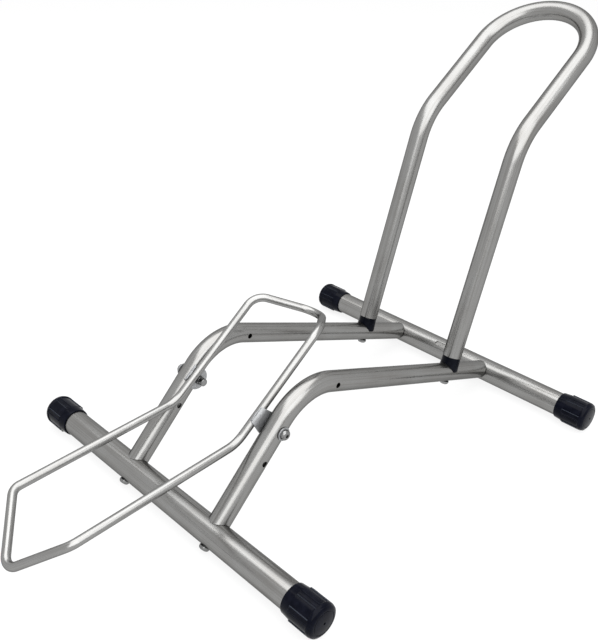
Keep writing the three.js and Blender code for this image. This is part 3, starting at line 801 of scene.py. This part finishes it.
rib_top = minus(given["Rib radius"], times(between_lips, given["Hollow"]))
lifted = rib_math("ADD", given["Valley radius"],
                  times(mask, minus(rib_top, given["Valley radius"])))
wanted = rib_math("MAXIMUM", radius, times(lifted, on_skin))
chosen = rib_math("ADD", times(wanted, risen), times(radius, minus(1.0, risen)))
gain = rib_math("DIVIDE", chosen, rib_math("MAXIMUM", radius, NOT_ZERO))
scaled = node(rib_tree, "ShaderNodeVectorMath", {0: flat.outputs[0], "Scale": gain},
              operation="SCALE")
split = node(rib_tree, "ShaderNodeSeparateXYZ", {0: scaled.outputs[0]})
landed = rib_math("MAXIMUM", split.outputs["Y"], given["Floor"])
moved_to = node(rib_tree, "ShaderNodeCombineXYZ",
                {"X": split.outputs["X"], "Y": landed, "Z": lengthwise})
line = minus(given["Half width"], times(given["Shoulder"], LINE_AT))
from_line = rib_math("ABSOLUTE", minus(from_middle, line))
# Mask of the painted highlight, a thin line along each rib's shoulder.
painted_highlight_mask = times(times(risen, before_end), minus(1.0, step_up(from_line, LINE_CORE, LINE_FADE)))
marked = node(rib_tree, "GeometryNodeStoreNamedAttribute",
              {"Geometry": given["Geometry"], "Name": "worn", "Value": times(painted_highlight_mask, on_skin)},
              data_type="FLOAT", domain="POINT")
moved = node(rib_tree, "GeometryNodeSetPosition",
             {"Geometry": marked.outputs[0], "Position": moved_to.outputs[0]})
hand_over(rib_tree, moved.outputs[0], given["Material"], result)

# %% [markdown]
# The cup itself is turned from one profile, drawn along Z with the tube's end at zero. It has
# many more sides than a tube, because the ribs' edges need points to follow. For the ribs its
# local Y is up, so that the flat it stands on is cut by the floor input.

# %% Profile of a cap
CAP_BORE, CAP_MOUTH, CAP_VALLEY, CAP_RADIUS = 16.15 * MM, 17.7 * MM, 18.8 * MM, 20 * MM
CAP_GRIP, COLLAR, MOUTH_EDGE, EDGE_CUT = 38 * MM, 11 * MM, 0.5 * MM, 0.15 * MM
END_FACE, CROWN, RIM_RADIUS, CENTRE_HOLE = 6.5 * MM, 0.8 * MM, 6 * MM, 1.5 * MM
GROOVE_LEAN, GROOVE_WIDTH, GROOVE_DEPTH = 0.1 * MM, 0.6 * MM, 0.35 * MM
FINE_STEP, FINE_RINGS, WIDE_RINGS = 0.2 * MM, 8, 20
RIM_START = END_FACE - CROWN - RIM_RADIUS
RIB_START, RIB_END = COLLAR - CAP_GRIP, RIM_START - 0.5 * MM


def cap_profile():
    """Bore, mouth, tapered collar, rib zone, round rim, groove and crowned end face."""
    profile = [(CAP_BORE, SEAT_GAP), (CAP_BORE, -CAP_GRIP), (CAP_MOUTH - MOUTH_EDGE, -CAP_GRIP),
               (CAP_MOUTH - EDGE_CUT, -CAP_GRIP + EDGE_CUT),
               (CAP_MOUTH, -CAP_GRIP + MOUTH_EDGE)]
    profile += [(CAP_MOUTH + (CAP_VALLEY - CAP_MOUTH) * k / 12,
                 -CAP_GRIP + MOUTH_EDGE + (COLLAR - MOUTH_EDGE) * k / 12) for k in range(1, 12)]
    widening = CAP_RADIUS - CAP_VALLEY
    widens_at = RIB_END - widening
    rings = [RIB_START + FINE_STEP * k for k in range(FINE_RINGS)]
    rings += list(np.linspace(RIB_START + FINE_STEP * FINE_RINGS, widens_at, WIDE_RINGS))
    profile += [(CAP_VALLEY, z) for z in rings]
    profile += [(CAP_VALLEY + widening * (1 - math.cos(math.pi * k / 8)) / 2,
                 widens_at + widening * k / 8) for k in range(1, 9)]
    face = CAP_RADIUS - RIM_RADIUS
    profile += arc((face, RIM_START), RIM_RADIUS, 0, 90, 15)
    bottom = END_FACE - CROWN - GROOVE_DEPTH
    profile += [(face - GROOVE_LEAN, bottom), (face - GROOVE_LEAN - GROOVE_WIDTH, bottom)]
    edge = face - 2 * GROOVE_LEAN - GROOVE_WIDTH
    profile += [(edge * (1 - k / 6) + CENTRE_HOLE * k / 6,
                 END_FACE - CROWN * (1 - k / 6) ** 2) for k in range(7)]
    return profile + [(CENTRE_HOLE, SEAT_GAP)]


print("cap profile:", len(cap_profile()), "points")

# %% Caps
CAP_SIDES = 540
CAP_TURN = {"front_left": 5, "front_right": 7, "rear_left": 9, "rear_right": 18}


def cap(end, hand):
    """Ribbed cap on one end of a cross tube, its ribs turned a few degrees from upright."""
    axis, sign = {"front": FRONT, "rear": REAR}[end], HANDS[hand]
    cup = add_piece("cup", turned(cap_profile(), CAP_SIDES))
    mesh = run_tree(cup, rib_tree, {
        "First angle": math.radians(90 - sign * CAP_TURN[f"{end}_{hand}"]),
        "Rib radius": CAP_RADIUS, "Valley radius": CAP_VALLEY, "Start": RIB_START,
        "End": RIB_END, "Floor": -axis.z, "Material": cap_plastic})
    tube_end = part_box(f"{end}_cross_tube")[1 if sign > 0 else 0].y
    mesh.transform(Matrix(((-sign, 0, 0, axis.x), (0, 0, sign, tube_end), (0, 1, 0, axis.z),
                           (0, 0, 0, 1))))
    return mesh


for end in ("front", "rear"):
    for hand in HANDS:
        name = f"cap_{end}_{hand}"
        stand_in(f"{name}_skin", smooth(cap(end, hand), 50), "frame", "cap", name)

# %% [markdown]
# ## Cradle rod
#
# The cradle is one closed loop of bent rod: its long sides run down from the rear V to a knee
# below the pivot, then out to the front V. One side could be made and mirrored, but the rod has
# no joint in the middle, so all eight corners go into one closed sweep.

# %% Cradle rod
REAR_RUN_SLOPE, FRONT_RUN_SLOPE = 38.2, 184
PIVOT_TO_ROD, PIVOT_TO_KNEE = 14 * MM, 38.4 * MM
REAR_RUN, FRONT_RUN = 160.3 * MM, 208.3 * MM
FRONT_V, REAR_V = Vector((-45.3, 0, -42.8)) * MM, Vector((62.5, 0, -26.2)) * MM
FRONT_BEND, KNEE_BEND, REAR_BEND = 14 * MM, 40 * MM, 24 * MM
TAB_SLACK, TAB_THICKNESS, FRONT_FLARE = 0.5 * MM, 2.5 * MM, 1.4 * MM

rear_up, above = rising(REAR_RUN_SLOPE), rising(REAR_RUN_SLOPE + 90)
knee = PIVOT + above * PIVOT_TO_ROD - rear_up * PIVOT_TO_KNEE
rear_corner = knee + rear_up * REAR_RUN
front_corner = knee + rising(FRONT_RUN_SLOPE) * FRONT_RUN
TAB_OUTER = RAIL_SIDE - TUBE_RADIUS - TAB_SLACK
TAB_INNER = TAB_OUTER - TAB_THICKNESS
ROD_SIDE = TAB_INNER - SEAT_GAP - ROD_RADIUS
one_side = [(front_corner, ROD_SIDE + FRONT_FLARE, FRONT_BEND), (knee, ROD_SIDE, KNEE_BEND),
            (rear_corner, ROD_SIDE, REAR_BEND)]
rod_corners = [(front_corner + FRONT_V, FRONT_BEND)]
rod_corners += [(at_side(point, -side), bend) for point, side, bend in one_side]
rod_corners += [(rear_corner + REAR_V, REAR_BEND)]
rod_corners += [(at_side(point, side), bend) for point, side, bend in reversed(one_side)]
rod_mesh = swept(bent_path(rod_corners, closed=True), ROD_RADIUS, ROD_SIDES, rod_zinc,
                 closed=True)
stand_in("cradle_rod_skin", smooth(rod_mesh), "cradle", "rod", "cradle_rod")

# %% [markdown]
# ## Pivot tabs
#
# Two sheet steel tabs hang the rod on the pivot bolts. Each is a strip rolled round the rod,
# cut to a rounded outline and welded on. It could be bent from a flat sheet with a modifier,
# but it is exact and short to take the part that two solids share: the strip's section drawn
# out lengthwise, and the outline drawn out sideways.

# %% Weld bead
WELD_RADIUS, WELD_HALF, WELD_OUT, WELD_PAST_WRAP = 1.5 * MM, 9.4 * MM, 6 * MM, 9
BEAD_STEPS, BEAD_SIDES = 96, 24
END_SWELL, RIPPLES, RIPPLE_DEPTH = 12, 9, 0.22
WANDER, WANDER_RATE = 0.3 * MM, 520


def weld_bead(start, end):
    """Rippled bead between two points, closed at both ends."""
    run = end - start
    profile = [(0, 0)]
    for share in (k / BEAD_STEPS for k in range(1, BEAD_STEPS)):
        swell = math.sqrt(min(1, END_SWELL * share, END_SWELL * (1 - share)))
        ripple = 1 - RIPPLE_DEPTH * abs(math.sin(math.pi * RIPPLES * share)) ** 0.5
        profile.append((WELD_RADIUS * swell * ripple, share * run.length))
    bead = turned(profile + [(0, run.length)], BEAD_SIDES)
    for vertex in bead.vertices:  # the welder's hand wandered a little
        vertex.co.x += WANDER * math.sin(WANDER_RATE * vertex.co.z)
    bead.transform(facing(run.normalized(), start))
    return bead


# %% The two solids of a tab
TAB_EYE, TAB_NECK, TAB_WRAP = 13.7 * MM, 10 * MM, 57
STRIP_REACH, SIDE_REACH = TAB_EYE + 2 * TAB_NECK, 200 * MM


def bent_strip():
    """Strip that hangs past the pivot and wraps round the rod, drawn out along X."""
    outer, inner = TAB_OUTER - ROD_SIDE, TAB_INNER - ROD_SIDE
    section = [(TAB_INNER, -STRIP_REACH), (TAB_OUTER, -STRIP_REACH)]
    section += arc((ROD_SIDE, PIVOT_TO_ROD), outer, 0, TAB_WRAP, 24)
    section += arc((ROD_SIDE, PIVOT_TO_ROD), inner, TAB_WRAP, 0, 24)
    strip = prism(section, 2 * STRIP_REACH)
    strip.transform(Matrix(((0, 0, 1, -STRIP_REACH), (1, 0, 0, 0), (0, 1, 0, 0),
                            (0, 0, 0, 1))))
    return strip


def rounded_blank():
    """Round eye that runs into a straight neck, drawn out along Y."""
    height = PIVOT_TO_ROD + TAB_OUTER - ROD_SIDE
    touch = math.degrees(math.atan2(height, TAB_NECK)
                         - math.acos(TAB_EYE / math.hypot(TAB_NECK, height)))
    outline = [(TAB_NECK, height), (-TAB_NECK, height)]
    outline += arc((0, 0), TAB_EYE, 180 - touch, 360 + touch, 64)
    blank = prism(outline, SIDE_REACH)
    blank.transform(Matrix(((1, 0, 0, 0), (0, 0, 1, 0), (0, 1, 0, 0), (0, 0, 0, 1))))
    blank.flip_normals()
    return blank


# %% Tabs
TAB_BEVEL, BEVEL_ABOVE = 0.35 * MM, 40


def tab(sign):
    """Tab in its own frame: X up along the rear run, Y sideways, Z away from the pivot."""
    mesh = boolean(bent_strip(), "INTERSECT", rounded_blank())
    mesh = boolean(mesh, "DIFFERENCE", bar(Vector(), ACROSS, BOLT_HOLE, SIDE_REACH))
    piece = add_piece("tab", mesh)
    bevel = piece.modifiers.new("Bevel", "BEVEL")
    bevel.width, bevel.segments, bevel.limit_method = TAB_BEVEL, 3, "ANGLE"
    bevel.angle_limit = math.radians(BEVEL_ABOVE)
    mesh = evaluated_mesh(piece)
    bpy.data.objects.remove(piece)
    lean = math.radians(TAB_WRAP + WELD_PAST_WRAP)
    y, z = ROD_SIDE + WELD_OUT * math.cos(lean), PIVOT_TO_ROD + WELD_OUT * math.sin(lean)
    builder = bmesh.new()
    builder.from_mesh(mesh)
    builder.from_mesh(weld_bead(Vector((-WELD_HALF, y, z)), Vector((WELD_HALF, y, z))))
    builder.to_mesh(mesh)
    builder.free()
    if sign < 0:
        mesh.transform(Matrix.Rotation(math.pi, 4, "Z"))
    mesh.transform(Matrix.Translation(PIVOT)
                   @ Matrix.Rotation(-math.radians(REAR_RUN_SLOPE), 4, "Y"))
    return in_material(mesh, tab_zinc)


for hand, sign in HANDS.items():
    stand_in(f"tab_{hand}", smooth(tab(sign)), "cradle", "tab", f"pivot_tab_{hand}")

# %% [markdown]
# ## Bolts, washers and nuts
#
# Eight bolts of three lengths hold the rack together. Each could be modelled on its own, but
# their heads are all alike, so the head is made once and Geometry Nodes puts a copy at each
# point, turned along the point's direction, with a shank stretched to the point's length.
# Washers and nuts use the same tree.

# %% The tree that sets fasteners
set_tree, given, result = new_group(
    "Fasteners at points", "GeometryNodeTree",
    {"Geometry": ("NodeSocketGeometry", None), "Head": ("NodeSocketObject", None),
     "Shank": ("NodeSocketObject", None), "Material": ("NodeSocketMaterial", None)},
    {"Geometry": "NodeSocketGeometry"})


def stored_value(name, data_type):
    """Output of a node that reads an attribute of the points."""
    made = node(set_tree, "GeometryNodeInputNamedAttribute", {"Name": name},
                data_type=data_type)
    return next(socket for socket in made.outputs if socket.enabled)


aim = node(set_tree, "FunctionNodeAlignRotationToVector",
           {"Vector": stored_value("towards", "FLOAT_VECTOR")}, axis="Z")
stretch = node(set_tree, "ShaderNodeCombineXYZ",
               {"X": 1.0, "Y": 1.0, "Z": stored_value("length", "FLOAT")})
joined = node(set_tree, "GeometryNodeJoinGeometry")
for part, scale in (("Head", None), ("Shank", stretch.outputs[0])):
    shape = node(set_tree, "GeometryNodeObjectInfo", {"Object": given[part]})
    copies = node(set_tree, "GeometryNodeInstanceOnPoints", {
        "Points": given["Geometry"], "Instance": shape.outputs["Geometry"],
        "Rotation": aim.outputs[0]})
    if scale:
        set_tree.links.new(scale, copies.inputs["Scale"])
    set_tree.links.new(copies.outputs[0], joined.inputs[0])
hand_over(set_tree, joined.outputs[0], given["Material"], result)

# %% Running the tree on a list of places
def fasteners(name, places, head, shank=None, finish=bolt_zinc):
    """Mesh with a head, and a shank where there is one, at each (point, direction, length)."""
    points = bpy.data.meshes.new(name)
    points.from_pydata([point for point, _, _ in places], [], [])
    points.attributes.new("towards", "FLOAT_VECTOR", "POINT")
    points.attributes.new("length", "FLOAT", "POINT")
    for i, (_, direction, length) in enumerate(places):
        points.attributes["towards"].data[i].vector = direction
        points.attributes["length"].data[i].value = length
    templates = [add_piece("template", mesh) for mesh in (head, shank) if mesh]
    values = {"Head": templates[0], "Material": finish}
    if shank:
        values["Shank"] = templates[1]
    mesh = run_tree(add_piece(name, points), set_tree, values)
    for template in templates:
        bpy.data.objects.remove(template)
    return mesh


# %% [markdown]
# The bolts have round heads with a hexagon socket. The thread is hidden, so the shank is plain.
# It is one metre long, and the tree stretches it to the length that each point gives.

# %% Head and shank of a bolt
HEAD_RADIUS, HEAD_HEIGHT, HEAD_BAND, HEAD_FLAT = 6.2 * MM, 4.4 * MM, 1.1 * MM, 3.1 * MM
HEAD_EDGE, SOCKET_CORNER, SOCKET_DEPTH = 0.15 * MM, 4 / math.sqrt(3) * MM, 2 * MM
BOLT_RADIUS, TIP_CHAMFER = 3 * MM, 0.5 * MM


def hexagon(corner, height):
    return prism([(corner * math.cos(math.pi * k / 3), corner * math.sin(math.pi * k / 3))
                  for k in range(6)], height)


def bolt_head():
    """Round head below z = 0 with a hexagon socket."""
    profile = [(0, -HEAD_HEIGHT)]
    profile += arc((HEAD_FLAT, -HEAD_BAND), HEAD_RADIUS - HEAD_FLAT, -90, 0, 15,
                   rise=HEAD_HEIGHT - HEAD_BAND)
    profile += [(HEAD_RADIUS, -HEAD_EDGE), (HEAD_RADIUS - HEAD_EDGE, 0), (0, 0)]
    socket = hexagon(SOCKET_CORNER, SOCKET_DEPTH + 1 * MM)  # it starts 1 mm outside the head
    socket.transform(Matrix.Translation((0, 0, -HEAD_HEIGHT - 1 * MM)))
    return boolean(turned(profile, 72), "DIFFERENCE", socket)


def bolt_shank():
    """Shank of length one; the point's length stretches it."""
    return turned([(0, -0.001), (BOLT_RADIUS, -0.001), (BOLT_RADIUS, 0.98),
                   (BOLT_RADIUS - TIP_CHAMFER, 1), (0, 1)], 48)


# %% [markdown]
# The washers are plain turned rings. The nuts are hexagon cap nuts with a tall dome, so that
# no thread sticks out towards the tyre. Their corners are turned off, as on a real nut, by
# keeping only what the hexagon shares with a turned disc.

# %% Washer and nut
WASHER_RADIUS, WASHER_THICKNESS, WASHER_EDGE = 8 * MM, 1.5 * MM, 0.2 * MM
NUT_CORNER, NUT_HEIGHT = 10 / math.sqrt(3) * MM, 5 * MM
NUT_CHAMFER, CHAMFER_HEIGHT = 0.6 * MM, 0.35 * MM
DOME_RADIUS, DOME_RISE, DOME_CROWN = 4.6 * MM, 6 * MM, 1.2 * MM
NUT_BORE, BORE_DEPTH = 3.2 * MM, 7.5 * MM


def washer():
    outer = WASHER_RADIUS - WASHER_EDGE
    return turned([(BOLT_HOLE, 0), (outer, 0), (WASHER_RADIUS, WASHER_EDGE),
                   (WASHER_RADIUS, WASHER_THICKNESS - WASHER_EDGE),
                   (outer, WASHER_THICKNESS), (BOLT_HOLE, WASHER_THICKNESS)], 96)


def cap_nut():
    """Hexagon with turned corners under a tall dome; the bore ends inside."""
    disc = turned([(0, 0), (NUT_CORNER - NUT_CHAMFER, 0), (NUT_CORNER, CHAMFER_HEIGHT),
                   (NUT_CORNER, NUT_HEIGHT - CHAMFER_HEIGHT),
                   (NUT_CORNER - NUT_CHAMFER, NUT_HEIGHT), (0, NUT_HEIGHT)], 96)
    nut = boolean(hexagon(NUT_CORNER, NUT_HEIGHT), "INTERSECT", disc)
    shoulder = NUT_HEIGHT + DOME_RISE
    dome = [(0, NUT_HEIGHT / 2), (DOME_RADIUS, NUT_HEIGHT / 2), (DOME_RADIUS, shoulder)]
    dome += arc((0, shoulder), DOME_RADIUS, 6, 84, 13, rise=DOME_CROWN)
    nut = boolean(nut, "UNION", turned(dome + [(0, shoulder + DOME_CROWN)], 72))
    bore = turned([(0, -1 * MM), (NUT_BORE, -1 * MM), (NUT_BORE, BORE_DEPTH),
                   (0, BORE_DEPTH)], 48)
    return boolean(nut, "DIFFERENCE", bore)


# %% Setting them
JOINT_BOLT, HOOP_BOLT, PIVOT_BOLT = 50 * MM, 60 * MM, 35 * MM
NUT_SLACK = 0.5 * MM
cross_seat, rail_seat = CROSS_RADIUS + SEAT_GAP, TUBE_RADIUS + SEAT_GAP
washer_in = RAIL_SIDE + rail_seat
washer_out = washer_in + WASHER_THICKNESS

bolt_places, washer_places, nut_places = [], [], []
for sign in HANDS.values():
    on_rail, inward = sign * RAIL_SIDE, Vector((0, -sign, 0))
    for start, run, seat, length in ((FRONT, rail_run["front"], cross_seat, JOINT_BOLT),
                                     (REAR, rail_run["rear"], cross_seat, JOINT_BOLT),
                                     (hoop_foot, leg_run, rail_seat, HOOP_BOLT)):
        bolt_places.append((at_side(start - run * seat, on_rail), run, length))
    bolt_places.append((at_side(PIVOT, sign * (washer_out + SEAT_GAP)), inward, PIVOT_BOLT))
    washer_places.append((at_side(PIVOT, sign * washer_out), inward, 1))
    nut_places.append((at_side(PIVOT, sign * (TAB_INNER - NUT_SLACK)), inward, 1))

bolt_nodes = [f"{place}_{hand}" for hand in HANDS
              for place in ("front_joint_bolt", "rear_joint_bolt", "hoop_bolt", "pivot_bolt")]
stand_in("bolts", smooth(fasteners("bolts", bolt_places, bolt_head(), bolt_shank())),
         "frame", "fastener", *bolt_nodes)
washers = fasteners("washers", washer_places, washer(), finish=tab_zinc)
stand_in("pivot_washers", smooth(washers),
         "frame", "fastener", *(f"pivot_washer_{hand}" for hand in HANDS))
stand_in("pivot_nuts", smooth(fasteners("nuts", nut_places, cap_nut())),
         "frame", "fastener", *(f"pivot_nut_{hand}" for hand in HANDS))

# %% [markdown]
# ## Plugs
#
# The threaded plugs that the bolts screw into sit inside the tubes, where no one sees them.
# They could be made again with threads, but their CAD shapes are right, so the solids stay and
# only get the zinc.

# %% Plugs
plugs = [name for name in frame["nodes"] if "plug" in name]
for name in plugs:
    for slot in bpy.data.objects[name].material_slots:
        slot.material = tab_zinc
print("plugs:", len(plugs))

# %% [markdown]
# ## Floor
#
# The object in the photograph stands on plain white. More light would bleach the floor but the
# metal too, so the floor glows by itself instead, only where the camera sees it, also in
# reflections. A small share of the real floor is left in the mix and keeps the rack's shadow.

# %% Floor
HALF_FLOOR = 40
FLOOR_GREY, FLOOR_ROUGHNESS, GLOW_SHARE = (0.8, 0.8, 0.8, 1), 0.9, 0.85
WHITE = (1, 1, 1, 1)


def seen_directly(tree):
    """1 where the camera sees a surface, also in metal or glass, and 0 for soft light."""
    seen = node(tree, "ShaderNodeLightPath")
    return math_of(tree, "MAXIMUM", seen.outputs["Is Camera Ray"], math_of(
        tree, "MAXIMUM", seen.outputs["Is Glossy Ray"], seen.outputs["Is Transmission Ray"]))


floor_mesh = bpy.data.meshes.new("floor")
floor_mesh.from_pydata([(x * HALF_FLOOR, y * HALF_FLOOR, 0)
                        for x, y in ((-1, -1), (1, -1), (1, 1), (-1, 1))], [], [(0, 1, 2, 3)])
floor = add_piece("floor", floor_mesh)
floor_white, tree, shader = new_material("floor_white")
shader.inputs["Base Color"].default_value = FLOOR_GREY
shader.inputs["Roughness"].default_value = FLOOR_ROUGHNESS
glow = node(tree, "ShaderNodeEmission", {"Color": WHITE, "Strength": 1.0})
share = math_of(tree, "MULTIPLY", seen_directly(tree), GLOW_SHARE)
blend = node(tree, "ShaderNodeMixShader", {0: share, 1: shader.outputs[0], 2: glow.outputs[0]})
tree.links.new(blend.outputs[0], tree.nodes["Material Output"].inputs["Surface"])
floor_mesh.materials.append(floor_white)
print("floor:", 2 * HALF_FLOOR, "m wide")

# %% [markdown]
# ## World
#
# A satin tube shows its surroundings as long soft bands, so the light around it is as much a
# part of the look as the metal. A photographed studio could be wrapped round the scene, but a
# plain rule does: grey that brightens with height and towards the back gives the soft light,
# and plain white is what the camera and the metal see.

# %% World
SKY_TONES = [(0.0, 0.52), (0.5, 0.68), (1.0, 0.85)]
BEHIND_FROM, BEHIND_TO, BEHIND_GAIN = -0.2, 1.0, 2.4

world = bpy.data.worlds.new("studio")
scene.world = world
world.use_nodes = True
tree = world.node_tree
soft = tree.nodes["Background"]
direction = node(tree, "ShaderNodeSeparateXYZ",
                 {0: node(tree, "ShaderNodeTexCoord").outputs["Generated"]})
tone = ramp(tree, direction.outputs["Z"], [(z, (grey,) * 3) for z, grey in SKY_TONES])
behind = node(tree, "ShaderNodeMapRange",
              {"Value": direction.outputs["X"], "From Min": BEHIND_FROM,
               "From Max": BEHIND_TO, "To Min": 1.0, "To Max": BEHIND_GAIN})
sky = node(tree, "ShaderNodeVectorMath", {0: tone, "Scale": behind.outputs[0]},
           operation="SCALE")
tree.links.new(sky.outputs[0], soft.inputs["Color"])
white = node(tree, "ShaderNodeBackground", {"Color": WHITE, "Strength": 1.0})
backdrop = node(tree, "ShaderNodeMixShader",
                {0: seen_directly(tree), 1: soft.outputs[0], 2: white.outputs[0]})
tree.links.new(backdrop.outputs[0], tree.nodes["World Output"].inputs["Surface"])
print("world:", len(tree.nodes), "nodes")

# %% [markdown]
# ## Lamps
#
# Two large softboxes give the metal its bright bands: one overhead, one beside the camera. Bare
# bulbs would be simpler, but a tube would show them as hard thin lines.

# %% Lamps
AIM_AT = Vector((0, 0, 0.2))


def softbox(name, azimuth, elevation, distance, size, radiance):
    """Rectangular lamp aimed at the rack; azimuth is from +X, and radiance 1 shows white."""
    light = bpy.data.lights.new(name, "AREA")
    light.shape, light.size, light.size_y = "RECTANGLE", *size
    light.energy = radiance * math.pi * size[0] * size[1]
    lamp = add_piece(name, light)
    azimuth, elevation = math.radians(azimuth), math.radians(elevation)
    out = Vector((math.cos(azimuth) * math.cos(elevation),
                  math.sin(azimuth) * math.cos(elevation), math.sin(elevation)))
    lamp.matrix_world = facing(out, out * distance + AIM_AT)
    lamp.visible_camera = False
    print(f"{name}: {light.energy:.1f} W")


softbox("overhead", azimuth=150, elevation=87, distance=2.6, size=(3.3, 3.1), radiance=2.6)
softbox("beside_camera", azimuth=-116, elevation=37, distance=3.0, size=(4.4, 2.2),
        radiance=2.5)

# %% [markdown]
# ## Camera
#
# The camera stands where the photographer's did. It could be moved by eye until the picture
# fits, but its place, angles and focal length were worked out from points that the CAD and the
# photograph share, which fits better.

# %% Camera
YAW, PITCH, ROLL = math.radians(45.02), math.radians(28.56), math.radians(1.65)
CAMERA_AT = (-0.68682, -0.63269, 0.66810)
FOCAL_PIXELS, PHOTO_HEIGHT, SENSOR_HEIGHT = 848.62, 640, 24

ahead = Vector((math.sin(YAW) * math.cos(PITCH), math.cos(YAW) * math.cos(PITCH),
                -math.sin(PITCH)))
level = Vector((math.cos(YAW), -math.sin(YAW), 0))
upright = level.cross(ahead)
right = level * math.cos(ROLL) + upright * math.sin(ROLL)
above_view = upright * math.cos(ROLL) - level * math.sin(ROLL)
lens = bpy.data.cameras.new("camera")
lens.sensor_fit = "VERTICAL"
lens.sensor_height = SENSOR_HEIGHT
lens.lens = SENSOR_HEIGHT * FOCAL_PIXELS / PHOTO_HEIGHT
camera = add_piece("camera", lens)
camera.matrix_world = (Matrix.Translation(CAMERA_AT)
                       @ Matrix((right, above_view, -ahead)).transposed().to_4x4())
scene.camera = camera
scene.view_settings.view_transform = "Standard"
print("lens:", round(lens.lens, 2), "mm")
